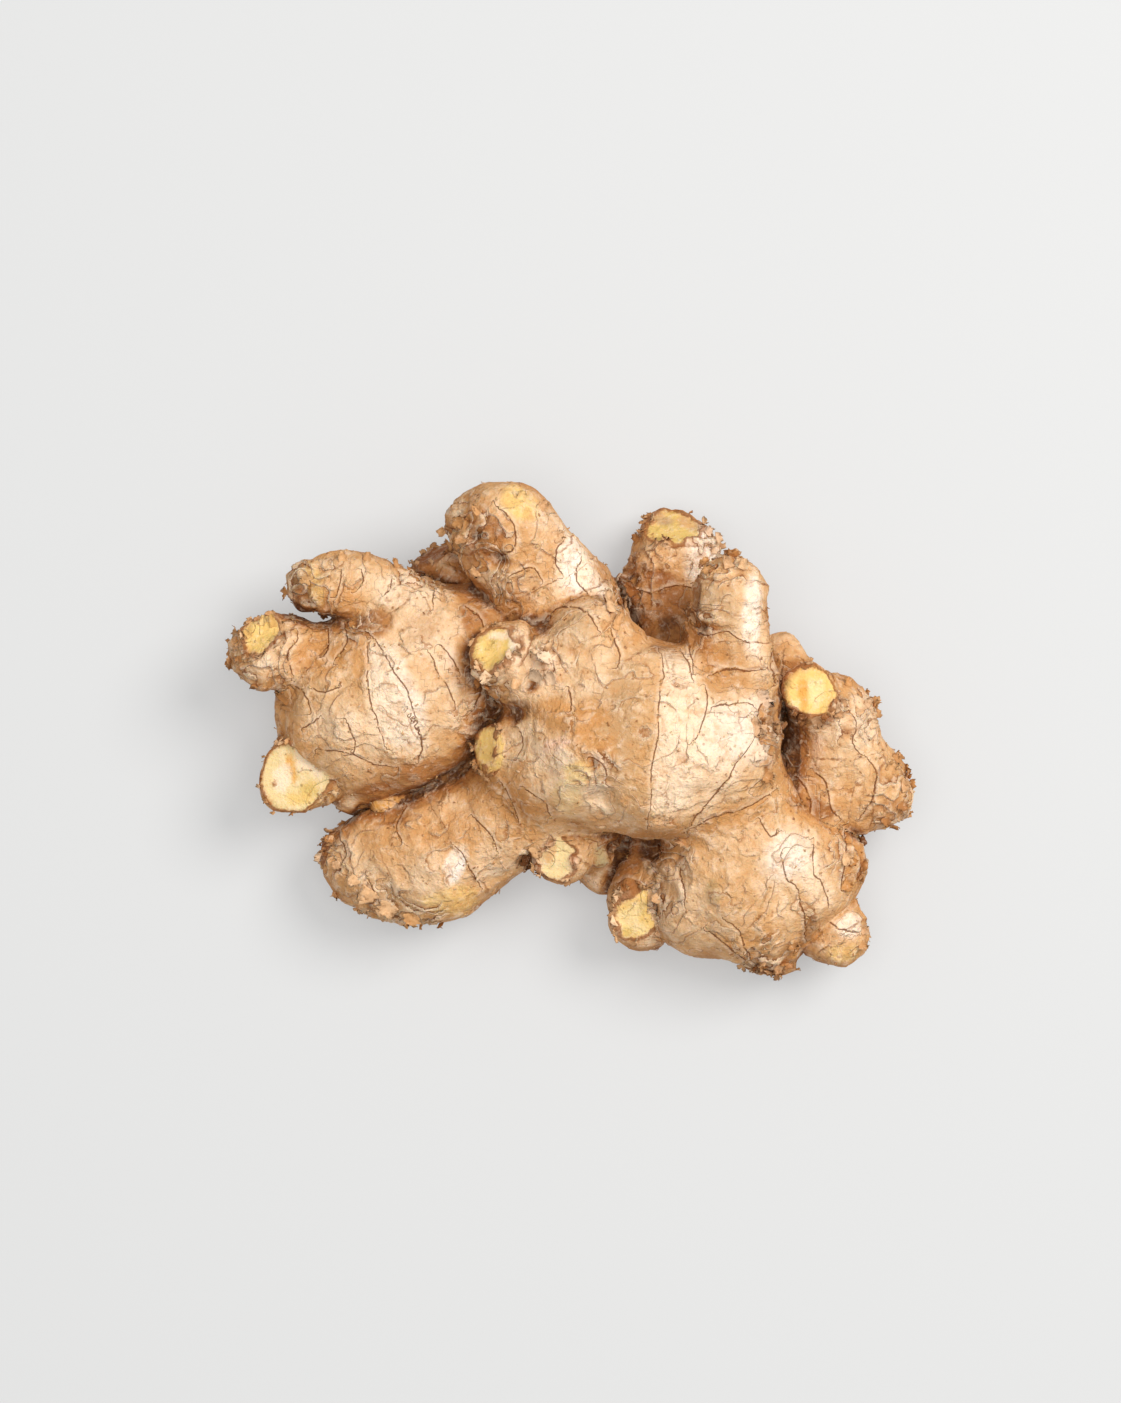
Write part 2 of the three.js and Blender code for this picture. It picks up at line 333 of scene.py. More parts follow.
# %% Rings along each lobe
RING_RISE = 0.8
RING_SLOPE = 3.2
RING_DROP = 0.45
RING_SHARE = {  # the fat lobes are nearly smooth, and only the fingers are clearly ringed
    "heart": 0.35, "left_body": 0.45, "lower_left_lobe": 0.5, "lower_right_lobe": 0.4, "lower_right_neck": 0,
    "upper_heart": 0.4, "right_lobe": 0.6, "top_finger": 0.7, "cut_bud": 0.5, "eye_knob": 0,
}
USUAL_RING_SHARE = 0.9
HEALED = {  # how far skin has grown over an old cut, in mm
    "upper_finger": 2.2, "upper_heart": 2.5, "upper_left_finger": 1.6, "top_finger": 3,
    "right_knob": 1.5, "bottom_stub": 0.5, "middle_knob": 0.3, "left_finger": -0.6,
}
SCAR_REACH = 4
FAR_APART = [7.1, 3.3, 1.7]  # each stretch between two rings takes its own value from the noise
ring_gap = np.full(count, 9.0)
ring_height = np.zeros(count)
ring_mark = np.zeros(count)
scar_gap = np.full(count, -9.0)
scar_of = np.full(count, -1)
stretch = np.zeros(count)
for i, name in enumerate(NAMES):
    mine = np.flatnonzero(shares[i] > 0.02)
    lobe, here, share = LOBES[name], rest[mine], shares[i][mine]
    round_skin, sliced, _, along = measure(lobe, here)
    spacing = lobe["rings"]
    step = (along + rough(here, (2.2, 13, 3 + i), (0.9, 5, 40 + i), (0.35, 1.8, 60 + i))) / spacing
    past = (step - np.floor(step)) * spacing
    gap = np.where(past < spacing / 2, past, past - spacing)
    strength = np.clip(0.5 + 0.8 * noise(here, 7, 90 + i), 0, 1) * RING_SHARE.get(name, USUAL_RING_SHARE)
    rise = np.where(gap < 0, np.exp(gap / RING_SLOPE), 1 - smoothstep(0, RING_DROP, gap))
    before_tip = smoothstep(0, 2, -sliced) if "cut" in lobe else 1
    ring_height[mine] += share * RING_RISE * strength * rise * before_tip
    stretch[mine] += share * noise(np.floor(step)[:, None] * FAR_APART + i, 1, 5)
    most = share > 0.5
    ring_gap[mine[most]] = gap[most]
    ring_mark[mine[most]] = strength[most]
    if "cut" in lobe:
        face = most & (sliced > -SCAR_REACH)
        ragged = rough(here, (0.8, 2.6, 130 + i), (0.4, 1.3, 160 + i))
        inside = np.where(sliced > round_skin, -round_skin, sliced) + ragged - HEALED.get(name, 0)
        scar_gap[mine[face]] = inside[face]
        scar_of[mine[face]] = i
print("ringed points:", int((np.abs(ring_gap) < 1).sum()), "scar points:", int((scar_gap > 0).sum()))

# %% [markdown]
# ## Cracks and torn edges
# The cracks of the real hand are long thin lines with one lip a little higher. Noise can't place them, so
# they are drawn as a few points each, seen from above. The lip is on the left of the line's own
# direction. Each line belongs to a family of lobes, so a line on the heart never marks the lobe that it
# hides. A point's gap to its nearest line has a sign that tells the lip from the other side.

# %% Lines on the upper side
LINES = {  # family: lip height, points
    "heart": [
        (0.7, [(16, -20), (17, -7.8), (18, -1.7), (18.2, 4.4), (19.2, 12), (18, 17)]),
        (0.15, [(23, 17), (25, 13.5), (25.8, 9.9)]),
        (0.25, [(28.3, 9.4), (28.6, 4.9), (26.8, -0.2), (25, -3.2)]),
        (0.35, [(38.6, -1), (36, -5), (34.1, -7.8), (31.6, -12.3), (27.1, -17.9), (24, -21.9)]),
        (0.9, [(42.2, -5.7), (39.7, -2.7), (39.2, 2.3), (41.2, 7.4)]),
        (0.3, [(37.9, -13.3), (39.7, -11.3), (43.2, -9.8)]), (0.2, [(-1.2, 9.4), (-0.6, 6.5), (-0.2, 3.8)]),
        (0.3, [(2.8, -5.7), (4.8, -6), (6.8, -7.5), (7.4, -9.5)]),
        (0.4, [(-12.3, 1.3), (-11.3, -2.7), (-12.3, -6.8)]),
        (0.35, [(-10.3, -11.3), (-6.8, -14.3), (-4.3, -18.4)]),
        (0.25, [(26, 22), (29, 20.5), (33, 21), (38, 19)]),
        (0.25, [(29, 12), (33, 13.5), (38, 12.5), (42, 14)]),
        (0.3, [(-6, 24), (-2, 26.5), (3, 25), (6, 21)]), (0.2, [(8, 22), (10, 17), (9, 13)]),
        (0.4, [(-15.4, -10.3), (-12.3, -15.9), (-11.3, -19.9)]),
        (0.5, [(-26.5, -24), (-23, -29), (-20, -35)]), (0.3, [(-22.5, -18.5), (-18.5, -22), (-16, -27)]),
        (0.6, [(-35, -42.5), (-40, -41), (-44, -35), (-45.5, -31)]),
        (0.4, [(-52, -22), (-50, -26), (-50.5, -30)]), (0.25, [(-36, -17), (-38.5, -21), (-37, -25)]),
        (0.3, [(40.4, -19.1), (41.4, -21.2), (42.8, -23.1), (44.6, -21)]),
        (0.7, [(58.3, -35.2), (59.4, -29), (59.7, -22.2)]),
        (0.3, [(54.3, -31.7), (55.2, -36.1), (56.1, -38.8)]),
        (0.4, [(50.9, -46), (51.1, -41.5), (50.2, -38.8), (48.9, -34.3), (46.6, -32.6),
               (45.5, -29), (45.3, -25.8)]),
        (0.5, [(39.5, -50.5), (37.7, -46.9), (36.3, -43.3), (33, -40.5)]),
        (0.4, [(38.6, -50.5), (35.4, -48.3), (32.3, -45.6), (28.5, -43.5)]),
        (0.5, [(24.6, -39), (24.6, -34.3), (23.5, -32.1), (23.7, -28.9)]),
        (0.3, [(28.8, 4.9), (33.1, 5.4), (37.2, 5.6), (39.2, 4.4)]),
        (0.4, [(23.5, -21.4), (29.6, -19.4), (37.2, -16.9), (43.7, -12.8)]),
        (0.3, [(52.5, -23.6), (52.3, -30.8), (54.5, -32.6)]), (0.4, [(26, 12), (25.5, 17), (27, 21.5)]),
        (0.3, [(43.5, 20), (42, 14), (43, 9)]),
    ],
    "left": [
        (0.5, [(-44.5, 21.9), (-40.3, 15.8), (-35.8, 8.2), (-34.3, 3.7), (-32.4, -2.4)]),
        (0.5, [(-40.3, -4.3), (-41.9, 1), (-43.8, 6), (-44.3, 10.9), (-44.1, 19.2)]),
        (0.35, [(-31.6, 18.1), (-29.4, 13.2), (-26.7, 9.4), (-25.6, 4.8)]),
        (0.4, [(-29, 19.2), (-26.7, 16.2), (-24, 12)]), (0.25, [(-58.5, 0.3), (-56.3, 1.4), (-54.7, 3.3)]),
        (0.4, [(-45.7, 35.1), (-45.7, 32.5), (-46.8, 29.8)]),
        (0.4, [(-50.2, 35.4), (-50.6, 33), (-51.5, 29.3)]),
        (0.3, [(-38.8, 34), (-39.6, 31.3), (-41.1, 29.4)]), (0.3, [(-29.4, 31), (-30.5, 28.7), (-30, 26)]),
        (0.5, [(-60.4, 21.9), (-60, 19.6), (-61.9, 17.3), (-61.9, 14.7), (-60.5, 11)]),
        (0.3, [(-53.2, 22.1), (-53.2, 18.5), (-55, 16)]), (0.3, [(-50, 9.5), (-53, 8.5), (-57, 9)]),
        (0.3, [(-62, 10.5), (-58, 8), (-56, 3)]), (0.25, [(-49, 3), (-47, -2), (-48, -6)]),
        (0.3, [(-56, -4), (-50, -4.5), (-44, -7.5), (-38, -8)]), (0.3, [(-36, 4), (-33, -2), (-34, -7)]),
        (0.25, [(-22, 14), (-20, 9), (-22, 4)]), (0.3, [(-52, 15), (-49, 19), (-50, 24)]),
        (0.3, [(-24, 27), (-20, 24), (-19, 20)]),
    ],
    "lower finger": [
        (0.6, [(21.9, -46), (22.8, -39.7), (21, -34.3), (17, -29)]),
        (0.3, [(10, -34), (13, -33), (16, -34.5), (19, -33.5)]),
    ],
    "right": [
        (0.3, [(52, -8), (55, -11), (56, -16), (59, -20)]),
        (0.4, [(59, 6), (61, 2), (60.5, -3), (63.5, -6)]),
        (0.4, [(63, -5.5), (66, -9), (65.5, -15), (63, -20)]), (0.25, [(49, -10), (52, -15), (51.5, -19)]),
    ],
    "top": [
        (0.4, [(-1, 43), (-3.5, 38), (-2, 33)]), (0.3, [(2, 38), (0.5, 33), (3, 28.5)]),
        (0.5, [(-17, 49), (-13, 45), (-12.5, 40), (-16, 37)]), (0.3, [(-14, 33.5), (-9, 35), (-6, 32)]),
    ],
    "lower right knob": [(0.2, [(55.5, -41), (58, -43.5), (60, -43.8), (63, -45)])],
    "back": [(0.3, [(14, 31), (18, 30), (23, 32), (28, 30.5)])],
}
print("lines:", len(rows(LINES)))

# %% [markdown]
# ## Where a line marks the skin
# A drawn line is straight between its points, but a crack wanders. The skin points are shaken a little by
# noise before they are compared with the line, which bends the line without more points in the table.

# %% Distance to a line
LINE_STEPS = 5
shaken = rest[:, :2] + np.stack([rough(rest, (0.35, 3, 201), (0.15, 1.2, 203)),
                                 rough(rest, (0.35, 3, 202), (0.15, 1.2, 204))], axis=1)


def beside(points, family, reach):
    """The skin points near a line seen from above, their gap to it, their side and how far along it."""
    line = curve_through(points, LINE_STEPS)
    near = (kin_shares[KINS.index(family)] > 0.4) & (outward[:, 2] > -0.1)
    near &= (shaken > line.min(axis=0) - reach).all(axis=1)
    near &= (shaken < line.max(axis=0) + reach).all(axis=1)
    here = shaken[near]
    gap, side, at = np.full(len(here), 99.0), np.zeros(len(here)), np.zeros(len(here))
    for i, (a, b) in enumerate(zip(line, line[1:])):
        t = np.clip((here - a) @ (b - a) / ((b - a) @ (b - a)), 0, 1)
        off = here - a - t[:, None] * (b - a)
        length = np.linalg.norm(off, axis=1)
        closer = length < gap
        gap[closer] = length[closer]
        side[closer] = np.sign((b - a)[0] * off[:, 1] - (b - a)[1] * off[:, 0])[closer]
        at[closer] = ((i + t) / (len(line) - 1))[closer]
    return near, gap, side, at


LINE_REACH = 4.0
LINE_DEPTH = 0.35
LINE_WIDTH = 0.55
LIP_SHARE = 0.75
LIP_WIDTH = 2.4
crack_gap = np.full(count, LINE_REACH)
line_height = np.zeros(count)
for family, lip, points in rows(LINES):
    near, gap, side, at = beside(points, family, LINE_REACH)
    fade = smoothstep(0, 0.2, at) * smoothstep(1, 0.8, at) * (0.7 + 0.3 * noise(rest[near], 4, 205))
    raised = np.where(side > 0, np.exp(-gap / LIP_WIDTH), 1 - smoothstep(0, 0.4, gap))
    raised *= smoothstep(LINE_REACH, LINE_REACH / 2, gap)
    groove = LINE_DEPTH * np.exp(-(gap / LINE_WIDTH) ** 2)
    line_height[near] += fade * (LIP_SHARE * lip * raised - groove)
    beyond = (at <= 0) | (at >= 1)
    signed = np.where((side < 0) & ~beyond, -gap, gap)
    signed += np.where(signed < 0, -0.5, 0.5) * (1 - np.clip(fade, 0, 1)) ** 2
    closest = np.abs(signed) < np.abs(crack_gap[near])
    crack_gap[near] = np.where(closest, signed, crack_gap[near])
print("cracked points:", int((np.abs(crack_gap) < 0.5).sum()))

# %% [markdown]
# ## Peeled layers
# The outer skin is a few layers of thin paper, and one layer ends where the next shows. Broad noise is cut
# into levels like a map: within a level the skin rises slowly, and at its end it drops to the next one.

# %% Levels of peeled skin
LAYERS = 2.6
LAYER_RISE = 0.32
peel = rough(rest, (1, 17, 31), (0.4, 7, 32), (0.14, 3, 33), (0.05, 1.5, 34))
layer = (LAYERS * peel) % 1
peel_height = LAYER_RISE * layer ** 2 * (1 - smoothstep(0.93, 1, layer))
print("points at the end of a layer:", int((layer > 0.93).sum()))

# %% [markdown]
# ## Pits and torn places
# A few small hollows lie where a root or a bud came off. At the finger tips and in the folds the dry skin
# has torn into small steps. Both are spots placed one by one over the photograph's view, with a ragged edge.
# The steps are levels of noise again, finer and steeper than the layers.

# %% Hollows and small steps
PITS = [  # x, y, radius, depth
    (-16, 37, 2.2, 2.2), (-21, 42, 1.8, 1.6), (4.8, -6.5, 1.6, 0.9), (-12.5, 3.5, 2.5, 1.5),
    (10, -26.5, 3, 2), (17, -26, 3.2, 2), (-8.5, 9.5, 1.6, 0.7), (-10, -29, 2, 1.5), (13, 33, 2, 1.2),
    (-46.5, -17.5, 2, 1), (28, 22, 2, 1), (-7, 23, 3, 1), (50, 3, 1.5, 0.8),
]
TORN = [  # x, y, radius
    (-18, 41, 8), (-58, 31, 8), (-70, 16, 9), (71, -14, 8), (-42, -38, 9), (-33, -41, 6), (15, 34, 7),
    (42, -50, 7), (18, -36, 7), (61, 3, 7), (33, 35, 5), (-26, 43, 7), (-53, -27, 6), (60, -28, 6),
    (29, 24, 5), (-4, 16, 5), (-18, 10, 6), (42, 0, 5), (-33, 34, 6), (-14, 33, 6), (8, 28, 5),
    (22, -28, 5), (-8, -28, 5), (4, -8, 6), (-46, 22, 5), (30, 40, 6),
]


def spot(x, y, wide, long, turn=0):
    """How far each point is from a spot seen from above, as a share of the way to the spot's edge."""
    c, s = math.cos(math.radians(turn)), math.sin(math.radians(turn))
    dx, dy = rest[:, 0] - x, rest[:, 1] - y
    return np.hypot((c * dx + s * dy) / wide, (c * dy - s * dx) / long)


pit = np.zeros(count)
pit_depth = np.zeros(count)
for x, y, radius, depth in PITS:
    reach = spot(x, y, radius, radius) + 0.25 * noise(rest, 1.8, 17)
    inside = smoothstep(1.2, 0.3, reach) * (outward[:, 2] > 0)
    pit = np.maximum(pit, inside)
    pit_depth += depth * inside
torn = np.zeros(count)
for x, y, radius in TORN:
    torn = np.maximum(torn, smoothstep(1.15, 0.5, spot(x, y, radius, radius) + 0.3 * noise(rest, 4, 37)))
STEP_RISE = 0.95
steps = rough(rest, (2.4, 6, 35), (1.2, 2.8, 36))
flap = steps % 1
flap_height = STEP_RISE * flap ** 2 * (1 - smoothstep(0.9, 1, flap))
torn_height = torn * (flap_height + 0.35 * noise(rest, 1.7, 38) - 0.2)
print("hollow points:", int((pit > 0.5).sum()), "torn points:", int((torn > 0.5).sum()))

# %% [markdown]
# ## Raise the skin
# Swellings, rings, lips and fine unevenness are added up and applied along the way out. A cut tip keeps
# its slice, with the skin's edge standing round it and fibres a little proud of the flesh. Where the hand
# lies, nothing may go below the table.

# %% Move the points
LUMP_HEIGHT = 0.7
RIM_PLACE = -0.5
RIM_WIDTH = 0.6


def swelling(points):
    x, y, z = points.T
    broad = np.sin(0.21 * x + 1) * np.sin(0.19 * y + 2)
    fine = np.sin(0.33 * y - 0.27 * z + 0.5) * np.sin(0.31 * x + 0.2 * z)
    return LUMP_HEIGHT * (broad + 0.6 * fine)


on_scar = smoothstep(0, 0.6, scar_gap)
rim = np.exp(-((scar_gap - RIM_PLACE) / RIM_WIDTH) ** 2)
ridge = 1 - 2 * np.abs(noise(rest + 3 * noise(rest, 9, 16)[:, None], 8, 10))
fine = 0.35 * ridge + rough(rest, (0.35, 5, 11), (0.2, 2.8, 12), (0.12, 1.5, 13))
flesh_relief = 0.12 * noise(rest, 1.6, 14) - 0.25 * smoothstep(0, 3, scar_gap)
rim_relief = rim * (0.35 + 0.3 * noise(rest, 1.8, 15))
skin_relief = swelling(rest) + fine + peel_height + ring_height + line_height + torn_height - pit_depth
height = skin_relief * (1 - on_scar) + flesh_relief * on_scar + rim_relief
places = rest + outward * height[:, None]
places[:, 2] = np.maximum(places[:, 2], 0)
skin.data.vertices.foreach_set("co", (places * MM).ravel())
skin.data.update()
print("raised, mm:", places.min(axis=0).round(1), places.max(axis=0).round(1))

# %% [markdown]
# ## How open each place is
# Creases get painted shade, from orange over brown to nearly black, since less light reaches into them. A
# point a few millimetres out from open skin is that far from the whole hand; in a crease it is closer to a
# neighbour, and the shortfall says how deep it lies.

# %% Creases
NARROW = 2.5
WIDE = 7


def shortfall(reach):
    distance, _, _ = common_skin(rest + outward * reach)
    return np.clip(1 - distance / reach, 0, 1)


crease = 0.5 * smoothstep(0.05, 0.7, shortfall(NARROW)) + 0.5 * smoothstep(0.1, 0.8, shortfall(WIDE))
print("creased points:", int((crease > 0.5).sum()))

# %% [markdown]
# ## Colour of the skin
# Fresh ginger is tan, paler where young skin shows and orange brown where old skin is thick. The broad
# colours are painted on the points: noise first, then each stretch between two rings a little differently,
# then a painted highlight on the tops of the lobes, then patches given one by one, among them painted
# highlights and painted shade, then painted shade in the creases. Cut tips are pale yellow, older ones
# greyish. Paint on the points suits this, because each patch has its own place and needs no picture.

# %% Colours
def srgb(r, g, b):
    return np.array([r, g, b]) / 255


TAN = srgb(212, 164, 112)
CREAM = srgb(250, 223, 192)
PALE = srgb(255, 242, 229)
ORANGE = srgb(202, 141, 80)
BROWN = srgb(148, 86, 38)
DARK = srgb(70, 36, 14)
RUST = srgb(134, 70, 24)
PINK = srgb(240, 198, 168)
GREY_GREEN = srgb(168, 152, 108)
YELLOW = srgb(236, 196, 118)
PALE_YELLOW = srgb(242, 214, 156)
GREEN_YELLOW = srgb(220, 184, 106)
GOLD = srgb(224, 160, 76)
OLD_CUT = srgb(196, 158, 116)

FLESH = {
    "cut_bud": PALE_YELLOW * 0.96, "scar_finger": GREEN_YELLOW, "left_bud": YELLOW, "top_finger": YELLOW,
    "back_finger": GREEN_YELLOW, "lower_finger": YELLOW, "middle_knob": PALE_YELLOW, "right_stub": YELLOW,
    "upper_finger": OLD_CUT, "upper_heart": OLD_CUT, "upper_left_finger": OLD_CUT, "left_finger": YELLOW,
    "right_knob": TAN, "lower_right_knob": CREAM, "bottom_stub": OLD_CUT, "lower_left_bud": BROWN,
    "back_small_finger": BROWN,
}

# %% Patches given one by one
# Besides the skin's own tones, most PALE rows are painted highlights on the lit sides and tops of the lobes,
# and the DARK rows, with the BROWN rows along the creases, are mostly painted shade in holes, gaps and
# creases and under the fingers that lie over them.
PATCHES = {  # family: x, y, half width, half length, turn in degrees, colour, strength
    "heart": [
        (31.5, -1, 6.5, 8, 0, PALE, 0.65), (24, 3, 6, 12, 5, CREAM, 0.6),
        (11, 0, 7, 15, 0, TAN * 0.88, 0.8), (31, 27, 4, 6, 0, OLD_CUT, 0.75),
        (28, -12, 8, 6, 40, CREAM, 0.5), (-2, 3, 8, 3.5, -10, ORANGE, 0.7), (4, -3, 5, 3, 0, ORANGE, 0.7),
        (4, 4, 4, 3, 0, ORANGE, 0.5), (-3.5, -3, 3, 1.4, 15, PINK, 0.9),
        (1, -9, 3, 2.5, 0, GREEN_YELLOW, 0.6), (-1, -14, 3, 4, 0, PALE_YELLOW, 0.6),
        (-6, 14, 2.6, 3.2, 0, CREAM, 0.7), (0, 22, 4, 4, 0, OLD_CUT, 0.6), (34, 22, 6, 5, 0, OLD_CUT, 0.4),
        (40, 20, 4, 10, 0, CREAM, 0.6), (29, 14, 4, 5, 0, ORANGE, 0.5), (11, 21, 4, 5, 30, ORANGE, 0.4),
        (30, 18, 3, 5, 0, ORANGE, 0.35), (-16, 7, 6, 3, -35, ORANGE, 0.5),
        (35, -19, 9, 2.4, 22, ORANGE, 0.6), (-20, -12, 14, 5, -15, ORANGE, 0.75),
        (-38, -24, 12, 6, -10, ORANGE, 0.45), (-25.5, -29, 2.2, 4.5, -20, PALE, 0.95),
        (-27, -37, 6, 3, 0, YELLOW, 0.6), (-31, -30, 5, 5, 0, CREAM, 0.35),
        (-45, -36.5, 1.2, 1.2, 0, ORANGE, 1), (-10, -20, 5, 6, 0, ORANGE, 0.6),
        (47, -27, 6, 5, 30, PALE, 0.75), (53, -33, 3, 6, 20, CREAM, 0.6),
        (30.7, -35, 1.8, 2.8, 0, GREY_GREEN, 0.9), (40, -42, 7, 4, -30, ORANGE, 0.35),
        (27, -37, 4, 4, 0, CREAM, 0.5), (34, -30, 7, 6, 0, TAN, 0.5), (51, -18, 7, 2.5, -30, ORANGE, 0.6),
        (42, -51, 3, 1.6, 0, OLD_CUT, 0.8), (38.5, 24, 2.2, 9, 0, PALE, 0.7),
        (28, 20, 2, 5, 10, BROWN, 0.5), (-42, -19, 6, 2, 0, BROWN, 0.8), (21.5, 17.5, 4, 3, 0, BROWN, 0.75),
        (41.5, 0, 1.6, 9, 0, BROWN, 0.6), (51, -17.5, 6, 1.6, -30, BROWN, 0.6),
        (-12.6, 4.2, 3, 2.2, 0, DARK, 0.7), (-8.3, 21.5, 1.3, 2.2, 0, DARK, 0.8),
        (27.3, 29, 0.9, 5, 0, DARK, 0.6), (12, -24.5, 5, 2, 0, DARK, 0.7),
        (51.5, -44, 1.2, 4, -20, DARK, 0.5), (-10.5, -28.5, 2, 1.5, 0, DARK, 0.7),
        (40, -52.5, 4, 1.2, 0, DARK, 0.5), (22, 16.8, 4.5, 3.2, 0, DARK, 0.55),
        (-11.5, 4.4, 3.5, 2.4, 0, DARK, 0.6), (44, 2, 1.5, 8, 0, DARK, 0.45),
        (53, -18, 5, 1.8, -25, BROWN, 0.8), (33, 13, 6, 6, 0, ORANGE * 0.93, 0.75),
        (-27, -21, 10, 5, -15, ORANGE, 0.5), (33, -38, 8, 5, 0, TAN, 0.5),
    ],
    "left": [
        (-38, 8, 4.5, 12, 20, CREAM, 0.7), (-24, 13, 2.6, 6, 30, PINK, 0.8),
        (-54, 16, 6.5, 4.5, 0, ORANGE, 0.8), (-50, 27, 5, 4, 0, ORANGE, 0.8),
        (-57, 30, 4, 4, 0, ORANGE, 0.5), (-36, 30, 7, 4, -15, CREAM, 0.7), (-28, 20, 8, 7, 0, CREAM, 0.5),
        (-52, 2, 6, 4, 0, CREAM, 0.4), (-70, 15, 4, 5, 0, CREAM, 0.5),
        (-67.6, 21, 2.6, 2.2, 0, YELLOW, 0.9), (-58.5, 30, 3, 4, 0, BROWN, 0.8),
        (-55, 27.5, 3, 2, 20, BROWN, 0.6), (-60, 33, 2, 2, 0, GREY_GREEN, 0.5),
        (-72, 17, 2.5, 4, 0, ORANGE, 0.7), (-66, 11, 4, 2, 0, ORANGE, 0.5), (-47, 21, 3, 3, 0, BROWN, 0.35),
        (-46, 14, 2.5, 5, 0, ORANGE, 0.6), (-33, 22, 4, 3, 0, BROWN, 0.2),
        (-30, -8, 7, 3.5, 20, ORANGE, 0.6), (-20, 20, 5, 6, 0, ORANGE, 0.4),
        (-42, -13, 6, 2, 0, BROWN, 0.9), (-43.5, 23, 5, 3, 10, BROWN, 0.7),
        (-32, -8, 9, 2.4, 15, BROWN, 0.5), (-56, 32, 2, 4, 20, GREEN_YELLOW, 0.5),
        (-22, -6, 6, 1.6, 25, DARK, 0.6), (-47.5, 23.8, 3, 1.4, 10, DARK, 0.4),
        (-60, 32, 1.4, 1.8, 0, DARK, 0.4), (-37, 6, 4.5, 10, 15, PALE, 0.6), (-50, 9, 5, 4, 0, TAN, 0.4),
        (-21, 25, 4, 4, 0, BROWN, 0.7), (-20.5, -4.5, 4, 3, 20, DARK, 0.65),
        (-40, -9, 6, 3, 10, BROWN, 0.3),
    ],
    "left bud": [
        (-59, -9, 1.2, 4, 0, GOLD, 0.95), (-56, -8, 2.2, 4, 0, CREAM, 0.8),
        (-55, -14, 3, 3, 0, GREEN_YELLOW, 0.3),
    ],
    "lower right knob": [
        (60.5, -43, 3, 3, 0, PALE, 0.6), (54, -42, 3, 5, 0, ORANGE, 0.7), (60, -49, 4, 2, 0, YELLOW, 0.5),
    ],
    "lower finger": [
        (14, -33, 6, 3, 0, ORANGE, 0.75), (20, -38, 2.5, 6, 0, CREAM, 0.5), (15, -29, 5, 2, 0, DARK, 0.5),
    ],
    "middle knob": [(0, -24, 3.5, 3, 0, ORANGE, 0.4), (-1, -28, 2, 3, 0, PINK, 0.6)],
    "tiny bump": [(5.5, -26.5, 3.5, 3.5, 0, GREY_GREEN, 0.7)],
    "bead": [(-40.7, -15, 5, 5, 0, GOLD, 0.9)],
    "right": [
        (50, -8, 5, 9, 0, BROWN, 0.5), (60, -2, 6, 7, 0, CREAM, 0.5), (58, -14, 7, 4, -20, ORANGE, 0.5),
        (67, -14, 5, 6, 0, TAN, 0.5), (55, 4, 3, 2, 0, ORANGE, 0.5), (63, 2, 3, 6, 0, CREAM, 0.5),
        (69, -18, 4, 3, 0, BROWN, 0.4), (47, -5, 2, 8, 0, DARK, 0.6), (54, 2.2, 2, 1.2, 0, DARK, 0.5),
        (52, -4, 3, 4, 0, PINK, 0.5), (53, -17, 5, 2, -25, BROWN, 0.8), (58, -6, 5, 5, 0, TAN, 0.5),
    ],
    "top": [
        (-13, 39, 8, 5, 0, ORANGE, 0.7), (-21, 46, 4, 5, 0, ORANGE, 0.8), (-4, 40, 4, 7, 20, CREAM, 0.6),
        (2, 33, 4, 8, 15, PALE, 0.6), (-8, 30, 7, 4, 0, ORANGE, 0.5), (-16, 37, 1.6, 1.6, 0, DARK, 0.8),
        (-21, 42, 1.3, 1.6, 0, DARK, 0.7), (-15, 26, 6, 5, 0, BROWN, 0.5),
        (-18.5, 41.5, 4, 4, 0, BROWN, 0.5), (-11.5, 49, 4.2, 3, -20, YELLOW, 0.85),
        (1, 34, 5, 9, 20, PALE, 0.6), (-20, 27, 4, 4, 0, BROWN, 0.7), (-19, 41, 4, 5, 0, BROWN, 0.5),
        (-9, 37, 6, 6, 0, TAN, 0.4),
    ],
    "back": [
        (21, 32, 9, 7, 0, ORANGE, 0.5), (19, 27, 9, 6, 0, BROWN, 0.7), (29, 38, 4, 9, 0, PALE, 0.85),
        (16, 33, 4, 2.5, 20, BROWN, 0.8), (15, 36.5, 2, 1.2, 0, DARK, 0.5),
        (20, 34, 2.5, 1.4, -30, BROWN, 0.7), (13, 29, 2.5, 5, 10, DARK, 0.6), (23, 22, 5, 3, 0, DARK, 0.6),
    ],
    "small back": [(-26, 33, 8, 6, 0, BROWN, 0.35), (-21.5, 35.5, 4, 5, 0, DARK, 0.5)],
    "right back": [(45, 12, 6, 9, 0, ORANGE, 0.7)],
    "low finger": [(8, -30, 6, 5, 0, CREAM, 0.3)],
}

